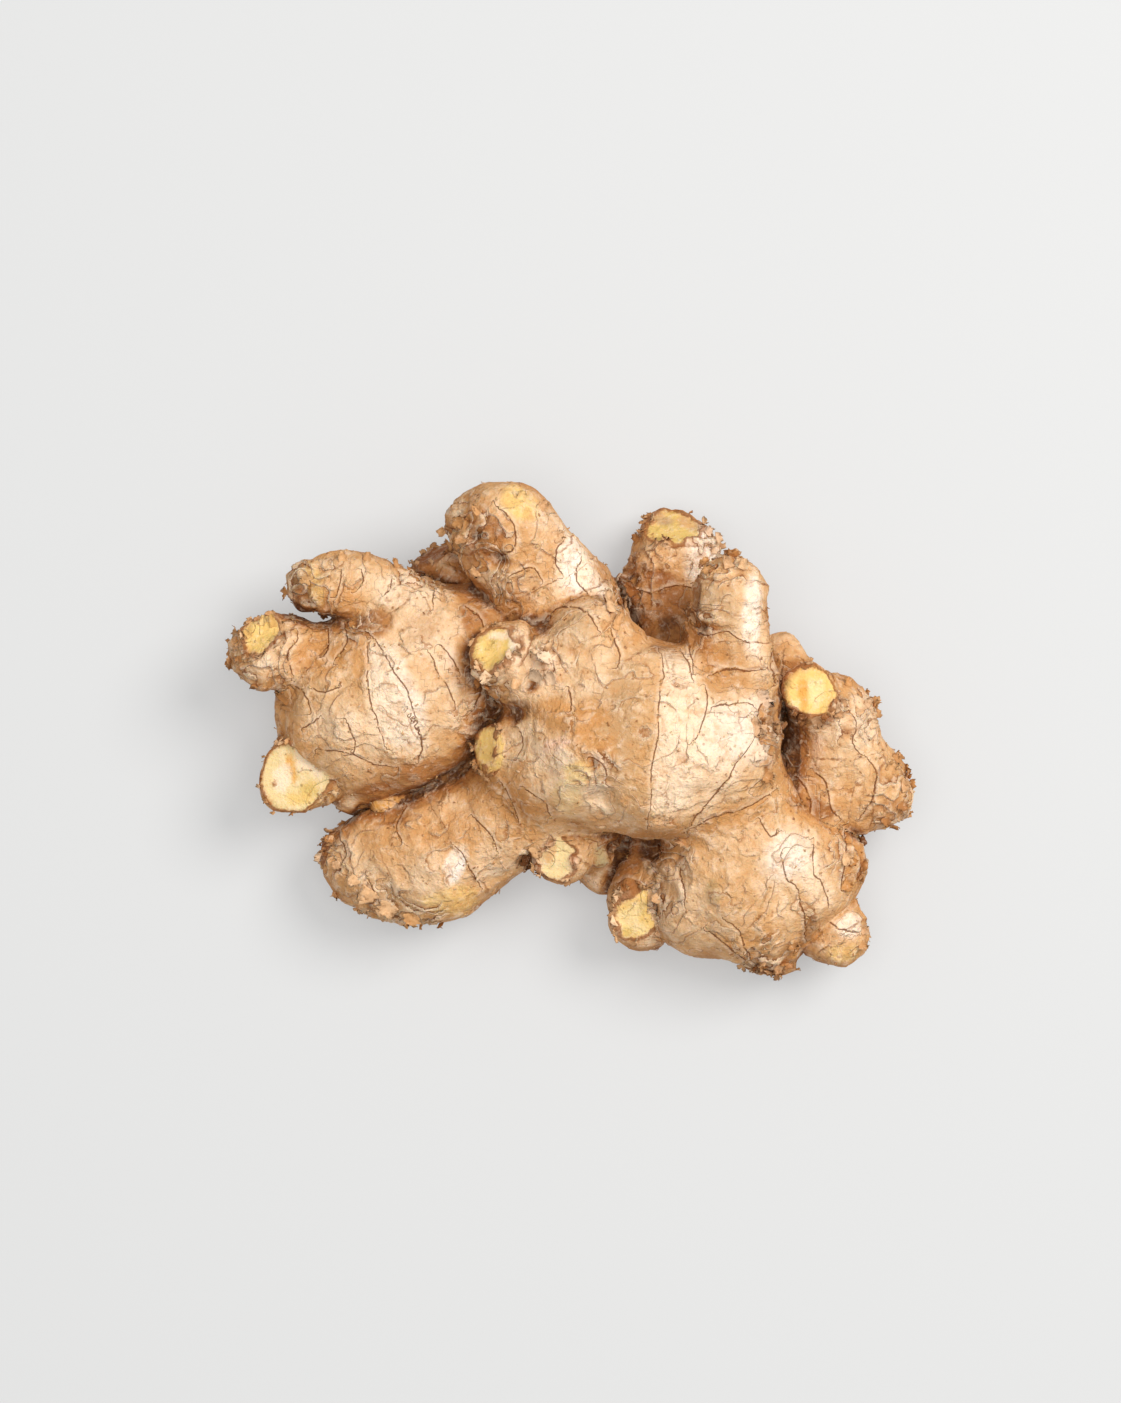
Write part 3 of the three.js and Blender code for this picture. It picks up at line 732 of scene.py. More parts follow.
FACE_PATCHES = {  # lobe: x, y, half width, half length, turn in degrees, colour
    "scar_finger": [
        (-18.8, 17.5, 1.7, 2.6, 0, YELLOW), (-15.6, 17.7, 0.9, 2, 0, YELLOW),
        (-10.5, 17, 1.3, 4, 10, ORANGE), (-12.2, 17, 1, 3.6, 10, PALE), (-15, 13, 3, 1.6, 0, TAN),
        (-16, 20.5, 3, 1, 0, CREAM),
    ],
    "cut_bud": [
        (-61.6, -8.4, 0.8, 3.4, 12, GOLD), (-57.6, -7, 2.2, 4, 20, CREAM), (-63.5, -11, 2, 3.4, 0, CREAM),
        (-58, -13, 2.4, 2, 0, GREEN_YELLOW), (-65.5, -11.8, 0.5, 0.5, 0, BROWN),
        (-60, -15, 3.5, 1.2, 0, YELLOW),
    ],
    "lower_finger": [
        (12.6, -41.5, 2.4, 3, 0, PALE_YELLOW), (15.5, -44, 1.4, 1.6, 0, PALE_YELLOW),
        (11, -45, 1.6, 1.6, 0, GREEN_YELLOW),
    ],
    "back_finger": [
        (18, 43, 3, 2, 0, GREEN_YELLOW), (26, 46, 3, 1.6, -20, TAN), (20, 46.5, 2.4, 1.4, 0, OLD_CUT),
    ],
    "right_stub": [(50.2, 8, 1, 3.4, 0, GOLD), (53, 8.5, 1.6, 3, 0, PALE_YELLOW)],
    "middle_knob": [(-1, -27, 2.4, 2.4, 0, PALE_YELLOW), (-5, -26, 1.2, 3, 0, TAN)],
}
print("patches:", len(rows(PATCHES)), "patches on cuts:", len(rows(FACE_PATCHES)))

# %% Young skin beside a torn edge
TINTS = [  # family, line, reach to the right of it in mm, colour, strength
    ("heart", [(16, -20), (17, -7.8), (18, -1.7), (18.2, 4.4), (19.2, 12), (18, 17)], 8, CREAM, 0.75),
    ("heart", [(18, 17), (19.2, 12), (18.2, 4.4), (18, -1.7), (17, -7.8), (16, -20)], 5, TAN, 0.7),
    ("left", [(-40.3, -4.3), (-41.9, 1), (-43.8, 6), (-44.3, 10.9), (-44.1, 19.2)], 7, CREAM, 0.85),
    ("heart", [(58.3, -35.2), (59.4, -29), (59.7, -22.2)], 3, ORANGE, 0.8),
    ("heart", [(41.2, 7.4), (39.2, 2.3), (39.7, -2.7), (42.2, -5.7)], 4, PALE, 0.5),
    ("heart", [(42.2, -5.7), (39.7, -2.7), (39.2, 2.3), (41.2, 7.4)], 3, ORANGE, 0.6),
    ("top", [(-1, 43), (-3.5, 38), (-2, 33)], 4, ORANGE, 0.5),
    ("top", [(3, 28.5), (0.5, 33), (2, 38)], 5, CREAM, 0.7),
]


# %% Paint the skin
def blend(paint, colour, amount):
    return paint + (colour - paint) * np.clip(amount, 0, 1)[:, None]


paint = np.tile(TAN, (count, 1))
paint = blend(paint, CREAM, 0.7 * smoothstep(-0.3, 0.8, rough(rest, (1, 15, 21), (0.5, 5, 22))))
paint = blend(paint, ORANGE, 0.6 * smoothstep(0, 0.9, rough(rest, (1, 12, 23), (0.5, 4, 24))))
paint = blend(paint, CREAM, 0.16 * np.clip(stretch, 0, 1))
paint = blend(paint, ORANGE, 0.16 * np.clip(-stretch, 0, 1))
# A painted highlight: cream on the tops of the lobes, where the light falls most.
top_highlight = outward[:, 2] + rough(rest, (0.16, 8, 29), (0.06, 2.5, 30))
paint = blend(paint, CREAM, 0.36 * smoothstep(0.6, 1.0, top_highlight))
upper = smoothstep(-0.2, 0.3, outward[:, 2])
ragged = rough(rest, (0.22, 3.2, 25), (0.12, 1.3, 26))
for family, x, y, wide, long, turn, colour, strength in rows(PATCHES):
    soft = min(0.45, 0.09 * min(wide, long))
    amount = smoothstep(1 + soft, 1 - soft, spot(x, y, wide, long, turn) + ragged)
    paint = blend(paint, colour, amount * strength * upper * kin_shares[KINS.index(family)])
for family, points, reach, colour, strength in TINTS:
    near, gap, side, at = beside(points, family, reach + 3)
    inside = smoothstep(-0.15, 0.15, np.where(side < 0, gap, -gap)) * smoothstep(reach + 2, reach - 2, gap)
    amount = np.zeros(count)
    amount[near] = inside * smoothstep(0, 0.08, at) * smoothstep(1, 0.92, at) * strength
    paint = blend(paint, colour, amount)
print("mean colour of the skin:", paint.mean(axis=0).round(3))

# %% [markdown]
# ## Flanks, creases and cut tips
# The sides of each lobe get painted shade in orange and brown, torn steps get painted shade at the foot and a
# painted highlight at the lip, and creases and pits get painted shade from orange over brown to nearly black.
# The cut tips are painted last, over all of it.

# %% Paint the rest
# The sides of the lobes get painted shade in orange and brown, where less light falls than on their tops.
flank_shade = smoothstep(0.75, 0, outward[:, 2] + 0.25 * noise(rest, 9, 27))
paint = blend(paint, ORANGE, 0.7 * flank_shade)
paint = blend(paint, BROWN, 0.4 * flank_shade * smoothstep(-0.3, 0.6, noise(rest, 5, 28)))
# Torn steps: painted shade, with the dark torn edge, at the foot of each step, and a painted highlight at its
# lip.
paint = blend(paint, BROWN, 0.55 * torn * smoothstep(0.35, 0.05, flap))
paint = blend(paint, CREAM, 0.4 * torn * smoothstep(0.5, 0.85, flap))
# Creases and pits get painted shade, from orange over brown to nearly black; the bead bud is mostly left out.
crease_shade = (crease + 0.2 * ragged + 0.9 * pit) * (1 - 0.8 * kin_shares[KINS.index("bead")])
paint = blend(paint, ORANGE * 0.95, 0.85 * smoothstep(0.02, 0.35, crease_shade))
paint = blend(paint, BROWN, 0.85 * smoothstep(0.22, 0.65, crease_shade))
paint = blend(paint, DARK, 0.7 * smoothstep(0.6, 0.95, crease_shade))
for name, colour in FLESH.items():
    amount = (scar_of == NAMES.index(name)) * smoothstep(-0.1, 0.5, scar_gap + 0.5 * ragged)
    paint = blend(paint, colour, amount)
for name, x, y, wide, long, turn, colour in rows(FACE_PATCHES):
    amount = smoothstep(1.25, 0.65, spot(x, y, wide, long, turn) + 2 * ragged)
    amount *= (scar_of == NAMES.index(name)) * smoothstep(-0.2, 0.6, scar_gap)
    paint = blend(paint, colour, 0.85 * amount)
print("mean colour:", paint.mean(axis=0).round(3))

# %% [markdown]
# ## What the finish needs to know
# The finish reads a few numbers from the mesh: the distance to the nearest ring, crack and scar edge, so
# that it can draw lines finer than the mesh, and the levels of the peeled layers and of the torn steps.

# %% Write the attributes
def linear(colour):
    return np.where(colour <= 0.04045, colour / 12.92, ((colour + 0.055) / 1.055) ** 2.4)


def write_paint(mesh, colours):
    made = mesh.color_attributes.new("paint", "FLOAT_COLOR", "POINT")
    rgba = np.column_stack([linear(colours), np.ones(len(colours))])
    made.data.foreach_set("color", rgba.astype(np.float32).ravel())
    mesh.polygons.foreach_set("use_smooth", np.ones(len(mesh.polygons), bool))


numbers = dict(ring_gap=ring_gap, ring_mark=ring_mark, peel=peel, steps=steps, torn=torn,
               crack_gap=crack_gap, scar_gap=scar_gap)
for name, values in numbers.items():
    made = skin.data.attributes.new(name, "FLOAT", "POINT")
    made.data.foreach_set("value", values.astype(np.float32))
write_paint(skin.data, paint)
print("attributes:", [a.name for a in skin.data.attributes if not a.name.startswith(".")])

# %% [markdown]
# ## A helper for finishes
# A finish is a net of nodes, and typed out link by link it is hard to read. This helper adds a node and
# joins it in one step, so that a finish reads as a list of patterns and of colours laid over each other.

# %% A small node helper
class Finish:
    """Adds nodes to a material and joins them, so that a finish reads as a list of steps."""

    def __init__(self, name):
        self.material = bpy.data.materials.new(name)
        self.material.use_nodes = True
        self.tree = self.material.node_tree
        self.shader = self.tree.nodes["Principled BSDF"]

    def put(self, socket, value):
        if isinstance(value, bpy.types.NodeSocket):
            self.tree.links.new(value, socket)
        elif value is not None:
            socket.default_value = value

    def node(self, kind, inputs=(), **settings):
        made = self.tree.nodes.new(kind)
        for key, value in settings.items():
            setattr(made, key, value)
        for key, value in dict(inputs).items():
            self.put(made.inputs[key], value)
        return made

    def math(self, operation, *values, kind="ShaderNodeMath", output=0):
        made = self.node(kind, operation=operation)
        for socket, value in zip(made.inputs, values):
            self.put(socket, value)
        return made.outputs[output]

    def vector(self, operation, a, b, output="Vector"):
        return self.math(operation, a, b, kind="ShaderNodeVectorMath", output=output)

    def scaled(self, vector, size):
        return self.vector("MULTIPLY", vector, (1 / size,) * 3)

    def ramp(self, value, low, high, to_low=0.0, to_high=1.0):
        inputs = {"Value": value, "From Min": low, "From Max": high, "To Min": to_low, "To Max": to_high}
        return self.node("ShaderNodeMapRange", inputs, interpolation_type="SMOOTHSTEP").outputs["Result"]

    def mix(self, amount, a, b):
        made = self.node("ShaderNodeMix", data_type="RGBA")
        for index, value in ((0, amount), (6, a), (7, b)):
            self.put(made.inputs[index], value)
        return made.outputs[2]

    def attribute(self, name, output="Fac"):
        return self.node("ShaderNodeAttribute", attribute_name=name).outputs[output]

    def noise(self, vector, size, detail=3.0, roughness=0.6):
        inputs = {"Vector": self.scaled(vector, size), "Scale": 1.0, "Detail": detail, "Roughness": roughness}
        return self.node("ShaderNodeTexNoise", inputs).outputs["Fac"]

    def cells(self, vector, size, feature="F1"):
        inputs = {"Vector": self.scaled(vector, size), "Scale": 1.0}
        return self.node("ShaderNodeTexVoronoi", inputs, feature=feature).outputs

    def scales(self, place, size):
        """Overlapping flakes of skin about size across: the height of each tilted flake, and its edge."""
        here = self.scaled(place, size)
        bend = self.node("ShaderNodeTexNoise", {"Vector": here, "Scale": 1.3, "Detail": 4.0})
        here = self.vector("ADD", here, self.vector("MULTIPLY", bend.outputs["Color"], (1.1, 1.1, 1.1)))
        cells = self.cells(here, 1.0)
        edge = self.cells(here, 1.0, "DISTANCE_TO_EDGE")["Distance"]
        offset = self.vector("SUBTRACT", here, cells["Position"])
        tilt = self.vector("SUBTRACT", cells["Color"], (0.5, 0.5, 0.5))
        height = self.vector("DOT_PRODUCT", offset, tilt, "Value")
        return self.times(height, self.ramp(edge, 0.0, 0.16)), edge

    def times(self, first, *others):
        for other in others:
            first = self.math("MULTIPLY", first, other)
        return first

    def over(self, colour, *layers):
        """Lays further colours over the first, each given as an amount and a colour."""
        for amount, upper in layers:
            colour = self.mix(amount, colour, shade(upper))
        return colour

    def total(self, *terms):
        """Adds up terms, each given as an amount and a pattern."""
        made = 0.0
        for amount, pattern in terms:
            made = self.math("MULTIPLY_ADD", pattern, amount, made)
        return made

    def finish(self, colour, height, distance, strength, **shader):
        """Joins the colour and the bump to the shader, and sets its other inputs."""
        bump = self.node("ShaderNodeBump", {"Strength": strength, "Distance": distance, "Height": height})
        self.put(self.shader.inputs["Base Color"], colour)
        self.put(self.shader.inputs["Normal"], bump.outputs[0])
        for key, value in shader.items():
            self.put(self.shader.inputs[key.replace("_", " ")], value)
        return self.material


def shade(colour):
    return (*[float(v) for v in linear(colour)], 1.0)


# %% [markdown]
# ## The patterns of the skin
# The real skin is mottled, grained and covered with fine overlapping scales. The patterns are noise and
# cells on Object coordinates, so they stay with the piece. The distances stored on the mesh are shaken by
# a little noise first, which makes the drawn lines wander at a scale finer than the mesh.

# %% Patterns
SIZES = dict(mottle=2.6, grain=1.5, fine_grain=0.45, shake=1.1, speck=1.9, scale=4.6, fine_scale=2.1,
             loose=6, layers=1.2, peeled=7, broken=4, fibre=0.9)  # in mm


def skin_patterns(f):
    size = {name: value * MM for name, value in SIZES.items()}
    place = f.node("ShaderNodeTexCoord").outputs["Object"]
    p = SimpleNamespace()
    p.mottle = f.noise(place, size["mottle"], 6, 0.65)
    p.grain = f.noise(place, size["grain"], 6, 0.72)
    p.fine_grain = f.noise(place, size["fine_grain"], 3, 0.6)
    shake = f.times(f.math("SUBTRACT", f.noise(place, size["shake"], 4), 0.5), 1.1)
    p.ring = f.math("ADD", f.attribute("ring_gap"), shake)
    p.crack = f.math("ADD", f.attribute("crack_gap"), f.times(shake, 0.6))
    p.scar = f.math("ADD", f.attribute("scar_gap"), shake)
    p.torn = f.ramp(f.attribute("torn"), 0.1, 0.6)
    p.flap = f.math("FRACT", f.math("ADD", f.attribute("steps"), f.times(shake, 0.35)))
    p.flesh = f.ramp(p.scar, -0.15, 0.2)
    p.bare = f.math("SUBTRACT", 1.0, p.flesh)
    specks = f.cells(place, size["speck"])
    pick = f.node("ShaderNodeSeparateColor", {"Color": specks["Color"]}).outputs[0]
    p.speck = f.times(f.ramp(specks["Distance"], 0.2, 0.1), f.ramp(pick, 0.55, 0.7))
    p.tilted, scale_edge = f.scales(place, size["scale"])
    p.fine_tilted, fine_edge = f.scales(place, size["fine_scale"])
    loose = f.ramp(f.noise(place, size["loose"], 3), 0.58, 0.66)
    torn_net = f.times(f.ramp(fine_edge, 0.05, 0.015), p.torn, loose)
    p.net = f.times(f.math("MAXIMUM", f.times(f.ramp(scale_edge, 0.03, 0.008), loose), torn_net), p.bare)
    level = f.math("MULTIPLY_ADD", f.noise(place, size["layers"], 4, 0.6), 0.1, f.attribute("peel"))
    p.layer = f.math("FRACT", f.math("MULTIPLY_ADD", level, LAYERS, -0.13))
    p.peeled = f.ramp(f.noise(place, size["peeled"], 4), 0.44, 0.56)
    broken = f.ramp(f.noise(place, size["broken"], 3), 0.4, 0.55)
    under = f.times(f.ramp(p.ring, -0.12, 0.08), f.ramp(p.ring, 0.65, 0.2))
    p.ring_line = f.times(under, broken, f.ramp(f.attribute("ring_mark"), 0.1, 0.5))
    gap = f.math("ABSOLUTE", p.crack)
    p.crack_line = f.times(f.ramp(gap, 0.24, 0.08), f.ramp(p.mottle, 0.36, 0.44), p.bare)
    p.fibre = f.times(f.ramp(f.cells(place, size["fibre"])["Distance"], 0.28, 0.14), p.flesh)
    return p


skin_look = Finish("ginger skin")
patterns = skin_patterns(skin_look)
print("pattern nodes:", len(skin_look.tree.nodes))

# %% [markdown]
# ## The colours of the skin
# The painted colour comes first. Over it go the mottling, the grain and specks, then the scales, paler where
# each stands higher and oranger where it lies lower as painted light and shade. Then come a painted highlight
# on the lip and painted shade, with the dark torn edge, at the foot of each layer and torn step, the dark
# lines of rings and cracks with a painted highlight on the raised lip of a crack, and last the brown edge and
# the yellow fibres of a cut. Each is one row, an amount and a colour, in the order in which they are laid.

# %% Colours laid over each other
def skin_colour(f, p):
    # The lip is a painted highlight on the raised side of each crack.
    lip = f.times(f.ramp(p.crack, 0.2, 0.4), f.ramp(p.crack, 1.3, 0.5), p.bare)
    edge = f.times(f.ramp(p.scar, -0.75, -0.3), f.ramp(p.scar, 0.3, 0.0))
    return f.over(
        f.attribute("paint", "Color"),
        (f.ramp(p.mottle, 0.5, 0.72, 0.0, 0.45), CREAM),
        (f.times(f.ramp(p.grain, 0.5, 0.32, 0, 0.3), p.bare), ORANGE * 0.85),
        (f.ramp(p.grain, 0.54, 0.72, 0, 0.25), PALE),
        (f.times(f.ramp(p.mottle, 0.5, 0.3, 0.0, 0.5), p.bare), ORANGE),
        (f.times(p.speck, 0.45), BROWN),
        (f.times(p.net, 0.55), RUST),
        # The next two rows: each scale paler where it stands higher and oranger where it lies lower, as
        # painted light and shade.
        (f.times(f.ramp(p.tilted, 0.03, 0.25, 0, 0.35), p.bare), CREAM),
        (f.times(f.ramp(p.tilted, -0.03, -0.25, 0, 0.25), p.bare), ORANGE),
        # The next four rows: a painted highlight on the lip, and painted shade with the dark torn edge at the
        # foot, of each peeled layer and each torn step.
        (f.times(f.ramp(p.layer, 0.86, 0.97), p.peeled, p.bare, 0.28), CREAM),
        (f.times(f.ramp(p.layer, 0.1, 0.02), p.peeled, p.bare, 0.6), BROWN),
        (f.times(f.ramp(p.flap, 0.75, 0.95), p.torn, p.bare, 0.5), CREAM),
        (f.times(f.ramp(p.flap, 0.1, 0.02), p.torn, p.bare, 0.85), RUST * 0.9),
        (f.times(p.ring_line, p.bare, 0.75), BROWN),
        (f.times(p.crack_line, 0.85), RUST * 0.85),
        (f.times(lip, 0.3), CREAM),
        (f.times(edge, 0.75), BROWN),
        (f.times(p.fibre, 0.3), GOLD),
    )


# %% [markdown]
# ## The fine relief of the skin
# The same patterns feed a bump, so that light catches them. Grain, scales, layers and steps rise, rings,
# cracks and the net of scale edges sink, and skin stands a little above a cut. What is wider than the
# squares of the mesh is geometry and isn't repeated here.

# %% Bump and finish
def skin_height(f, p):
    grain = f.times(f.math("SUBTRACT", p.grain, 0.5), f.ramp(p.flesh, 0, 1, 0.4, 0.25))
    crumple = f.times(f.total((1.0, p.tilted), (0.45, p.fine_tilted)), p.bare)
    rising = f.times(f.math("POWER", p.layer, 3.0), f.ramp(p.layer, 1.0, 0.93), p.peeled)
    flap = f.times(f.math("SUBTRACT", p.flap, f.ramp(p.flap, 0.85, 1.0)), p.torn)
    return f.total((1.0, grain), (0.16, p.fine_grain), (1.0, crumple), (0.4, flap), (0.5, p.mottle),
                   (0.25, p.bare), (0.5, rising), (-0.12, p.ring_line), (-0.12, p.crack_line),
                   (-0.1, p.net), (0.15, p.speck))


skin.data.materials.clear()
skin.data.materials.append(skin_look.finish(
    skin_colour(skin_look, patterns), skin_height(skin_look, patterns), 1.0 * MM, 1.0,
    Roughness=skin_look.ramp(patterns.mottle, 0.3, 0.7, 0.72, 0.56), Specular_IOR_Level=0.22,
    Subsurface_Weight=0.15, Subsurface_Radius=(1.0, 0.5, 0.2), Subsurface_Scale=1.5 * MM))
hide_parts(NODE)
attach(skin, BODY)
print("nodes of the skin's finish:", len(skin_look.tree.nodes))

# %% [markdown]
# ## Papery flakes and fibres
# Dry scale leaves leave thin brown paper at the rings, at the edges of the cuts and where skin was torn.
# Each flake is a small bent sheet that stays attached at one edge and curls away from the skin. There are
# over two thousand, each with its own bend, cup and ragged edge, and an operator call for each would take
# minutes. So one class lays out the points of both sides of a sheet and closes it round its rim.

# %% One bent sheet
RANDOM = np.random.default_rng(7)
SHEET = 0.09
ROOT_SHARE = 0.25
TAPER = 0.25
RAGGED = 0.06
LOWEST = 0.05


def unit(vector):
    return vector / max(np.linalg.norm(vector), 1e-9)


class Paper:
    """Collects bent sheets and makes one piece of them."""

    def __init__(self):
        self.points, self.faces, self.tones = [], [], []

    def add(self, base, normal, heading, size, lift, curl, grid, tone, cup=0.15):
        """A sheet of size (length, width) that leaves the skin at the angle lift and curls by curl."""
        rows, columns = grid
        normal = unit(normal)
        heading = unit(heading - (heading @ normal) * normal)
        side = np.cross(normal, heading)
        first = len(self.points)
        place = np.array(base, float) - ROOT_SHARE * size[0] * heading
        for row in range(rows + 1):
            t = row / rows
            angle = lift + curl * t
            if row:
                place = place + (math.cos(angle) * heading + math.sin(angle) * normal) * size[0] / rows
            up = math.cos(angle) * normal - math.sin(angle) * heading
            half = 0.5 * size[1] * (1 - TAPER * t * t) * RANDOM.uniform(0.8, 1.15)
            for column in range(columns + 1):
                c = 2 * column / columns - 1
                shake = RANDOM.normal(0, RAGGED * size[1] * (0.3 + t), 3)
                below = place + side * half * c + up * cup * size[1] * (c * c - 0.4) + shake
                self.points += [below, below + SHEET * up]
                self.tones += [tone * (1 - 0.2 * t * abs(c))] * 2
        across = 2 * (columns + 1)
        for row in range(rows):
            for column in range(columns):
                a = first + row * across + 2 * column
                corners = (a, a + 2, a + across + 2, a + across)
                self.faces += [corners[::-1], tuple(c + 1 for c in corners)]
        rim = [first + 2 * c for c in range(columns + 1)]
        rim += [first + r * across + 2 * columns for r in range(1, rows + 1)]
        rim += [first + rows * across + 2 * c for c in range(columns - 1, -1, -1)]
        rim += [first + r * across for r in range(rows - 1, 0, -1)]
        self.faces += [(a, b, b + 1, a + 1) for a, b in zip(rim, rim[1:] + rim[:1])]

    def piece(self, name, finish):
        points = np.array(self.points)
        points[:, 2] = np.maximum(points[:, 2], LOWEST)
        mesh = bpy.data.meshes.new(name)
        mesh.from_pydata((points * MM).tolist(), [], self.faces)
        write_paint(mesh, np.array(self.tones))
        mesh.materials.append(finish)
        made = bpy.data.objects.new(name, mesh)
        bpy.context.scene.collection.objects.link(made)
        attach(made, BODY)
        print(name, "faces:", len(mesh.polygons))


# %% [markdown]
# ## The finish of the paper
# Old scale leaves are thin, dull and streaked brown. Their own colour is stored on their points, taken
# mostly from the skin beside them, and fine noise makes it uneven.

# %% Paper
paper_look = Finish("papery scale")
grain = paper_look.noise(paper_look.node("ShaderNodeTexCoord").outputs["Object"], 0.9 * MM, 5, 0.7)
PAPER = paper_look.finish(
    paper_look.over(paper_look.attribute("paint", "Color"),
                    (paper_look.ramp(grain, 0.52, 0.66, 0, 0.6), ORANGE * 0.8),
                    (paper_look.ramp(grain, 0.46, 0.34, 0, 0.3), CREAM), (0.12, BROWN)),
    grain, 0.2 * MM, 0.6, Roughness=0.75, Specular_IOR_Level=0.2)
print("nodes of the paper's finish:", len(paper_look.tree.nodes))

# %% [markdown]
# ## Flakes placed one by one
# The scale leaves that stand up clearly in the photograph are placed one by one: where each sits, which
# way it points, how large it is and how far it curls. Each finds the highest skin at its place.

# %% Flakes placed one by one
FLAKES = [  # x, y, heading in degrees seen from above, length, width, lift, curl, colour
    (-8.5, 11.5, 60, 4.2, 3.4, 0.3, 1.1, CREAM), (-5.2, 15.5, 200, 3.2, 3, 0.5, 1.2, CREAM),
    (-4.6, 11.6, 100, 3.4, 2.6, 0.3, 0.9, PALE), (-7, 17, 250, 2.6, 2.2, 0.6, 1, TAN),
    (25.8, 20, 100, 5.5, 3.4, 0.15, 0.6, ORANGE), (25.6, 24, 110, 4, 2.4, 0.3, 0.7, BROWN),
    (8.5, 27, 80, 6, 2, 0.3, 0.3, TAN), (10, 23, 60, 4, 2, 0.2, 0.5, ORANGE),
    (41, 7, 20, 2.6, 4.5, 0.5, 0.9, CREAM), (39.8, 1, 10, 2.4, 4.5, 0.5, 1, TAN),
    (40.5, -5, -10, 2.6, 4, 0.5, 1, CREAM), (42.5, -10, -30, 2.4, 3, 0.5, 0.8, TAN),
    (-63.5, 6.5, 160, 4.2, 1.8, 0.1, 0.4, BROWN), (-62.5, 4.6, 175, 3.2, 1.6, 0.2, 0.4, DARK),
    (-65.2, 23.5, 100, 2.8, 1.6, 0.7, 0.2, BROWN), (-70.5, 21.5, 130, 2.2, 1.5, 0.8, 0.3, ORANGE),
    (-73, 15.5, 190, 1.8, 1.6, 0.4, 0.4, BROWN), (-68, 24, 80, 2.4, 1.4, 0.8, 0.3, CREAM),
    (-58, 33, 170, 2.4, 2, 0.4, 0.6, BROWN), (-50, 38, 100, 2.4, 2, 0.5, 0.7, ORANGE),
    (-38, 36.5, 90, 2.2, 1.6, 0.5, 0.5, TAN), (-45, 38, 80, 2, 1.6, 0.6, 0.5, BROWN),
    (-25, 45, 170, 2.6, 2.6, 0.4, 0.6, ORANGE), (-24.5, 41.5, 200, 2.4, 2.2, 0.4, 0.8, BROWN),
    (-20.5, 47.5, 130, 2.4, 2, 0.6, 0.6, ORANGE), (-11, 50.5, 80, 2.4, 2, 0.5, 0.8, CREAM),
    (-6.5, 49, 40, 2.2, 2, 0.5, 0.7, BROWN), (-3, 42, 20, 2.6, 2.6, 0.5, 0.8, CREAM),
    (12.6, 30.5, 120, 3.4, 2.4, 0.2, 0.6, BROWN), (12, 27.5, 150, 2.6, 2, 0.3, 0.6, DARK),
    (14, 42.5, 140, 2.2, 2.4, 0.4, 0.7, BROWN), (30.5, 44.5, 50, 2.2, 2, 0.5, 0.6, BROWN),
    (33, 36, 110, 2.8, 2.2, 0.6, 0.6, BROWN), (36, 35.5, 70, 2.4, 2, 0.6, 0.6, TAN),
    (29, 34.5, 140, 2, 1.8, 0.5, 0.6, ORANGE), (-10, -28.5, 260, 2.6, 2, 0.4, 0.4, BROWN),
    (-8.5, -26.5, 300, 3, 2.4, 0.3, 0.6, TAN), (-52, -29, 200, 2, 2, 0.4, 0.6, BROWN),
    (-54, -24, 170, 2, 2, 0.5, 0.7, TAN), (-44, -36.5, 230, 3.4, 4, 0.4, 1, ORANGE),
    (-40.5, -39.5, 240, 3.4, 4.4, 0.4, 1, TAN), (-35.5, -41.5, 260, 3, 4, 0.4, 1, TAN),
    (-48.5, -33, 220, 2.4, 2.4, 0.4, 0.8, ORANGE), (71.5, -6, 40, 2.4, 2.4, 0.3, 0.8, BROWN),
    (73, -12, 0, 2, 2.6, 0.3, 0.8, BROWN), (72.5, -17, 330, 2.2, 2.4, 0.3, 0.8, BROWN),
    (70, -8, 60, 2.6, 2.4, 0.4, 0.8, ORANGE), (69, -20, 300, 2.2, 2, 0.4, 0.6, BROWN),
    (65, 6, 50, 2.2, 2, 0.4, 0.7, BROWN), (61, 10.5, 80, 2.2, 2, 0.4, 0.7, ORANGE),
    (66, 1, 20, 2, 2, 0.4, 0.7, TAN), (41, -52.5, 240, 2.6, 2.4, 0.3, 0.8, BROWN),
    (45, -53, 280, 2.2, 2, 0.3, 0.8, BROWN), (50, -48, 250, 2, 1.8, 0.3, 0.7, DARK),
    (64.5, -44, 20, 2, 2.2, 0.4, 0.8, BROWN), (64, -48, 330, 2, 2, 0.4, 0.8, BROWN),
    (60, -28, 0, 2.4, 3, 0.4, 0.8, TAN), (60.5, -34, 340, 2.2, 2.6, 0.4, 0.8, ORANGE),
    (53, 1.5, 290, 2.6, 2.6, 0.5, 1, CREAM), (49.5, 2.5, 240, 2.4, 2.4, 0.4, 0.9, TAN),
    (-19, 12, 230, 2.8, 2.4, 0.5, 0.9, CREAM), (-12, 9.5, 250, 2.4, 2, 0.4, 0.9, ORANGE),
]


def skin_at(x, y, reach=0.8):
    """The highest skin point within reach of a place seen from above."""
    near = np.hypot(places[:, 0] - x, places[:, 1] - y)
    best = near < near.min() + reach
    return np.flatnonzero(best)[places[best, 2].argmax()]


paper = Paper()
for x, y, turn, long, wide, lift, curl, tone in FLAKES:
    k = skin_at(x, y)
    heading = np.array([math.cos(math.radians(turn)), math.sin(math.radians(turn)), 0])
    paper.add(places[k], outward[k], heading, (long, wide), 0.5 * lift, curl, (7, 8),
              0.8 * paint[k] + 0.2 * tone)
paper.piece("large_flakes", PAPER)

# %% [markdown]
# ## Scattered pieces
# Three more kinds of paper are too many to place: loose skin on the flanks of torn places, the ragged
# collar round each cut, and short fibres along rings, cracks and layers. A seeded generator picks their
# skin points, with odds that say where each kind grows, so each run gives the same ones.

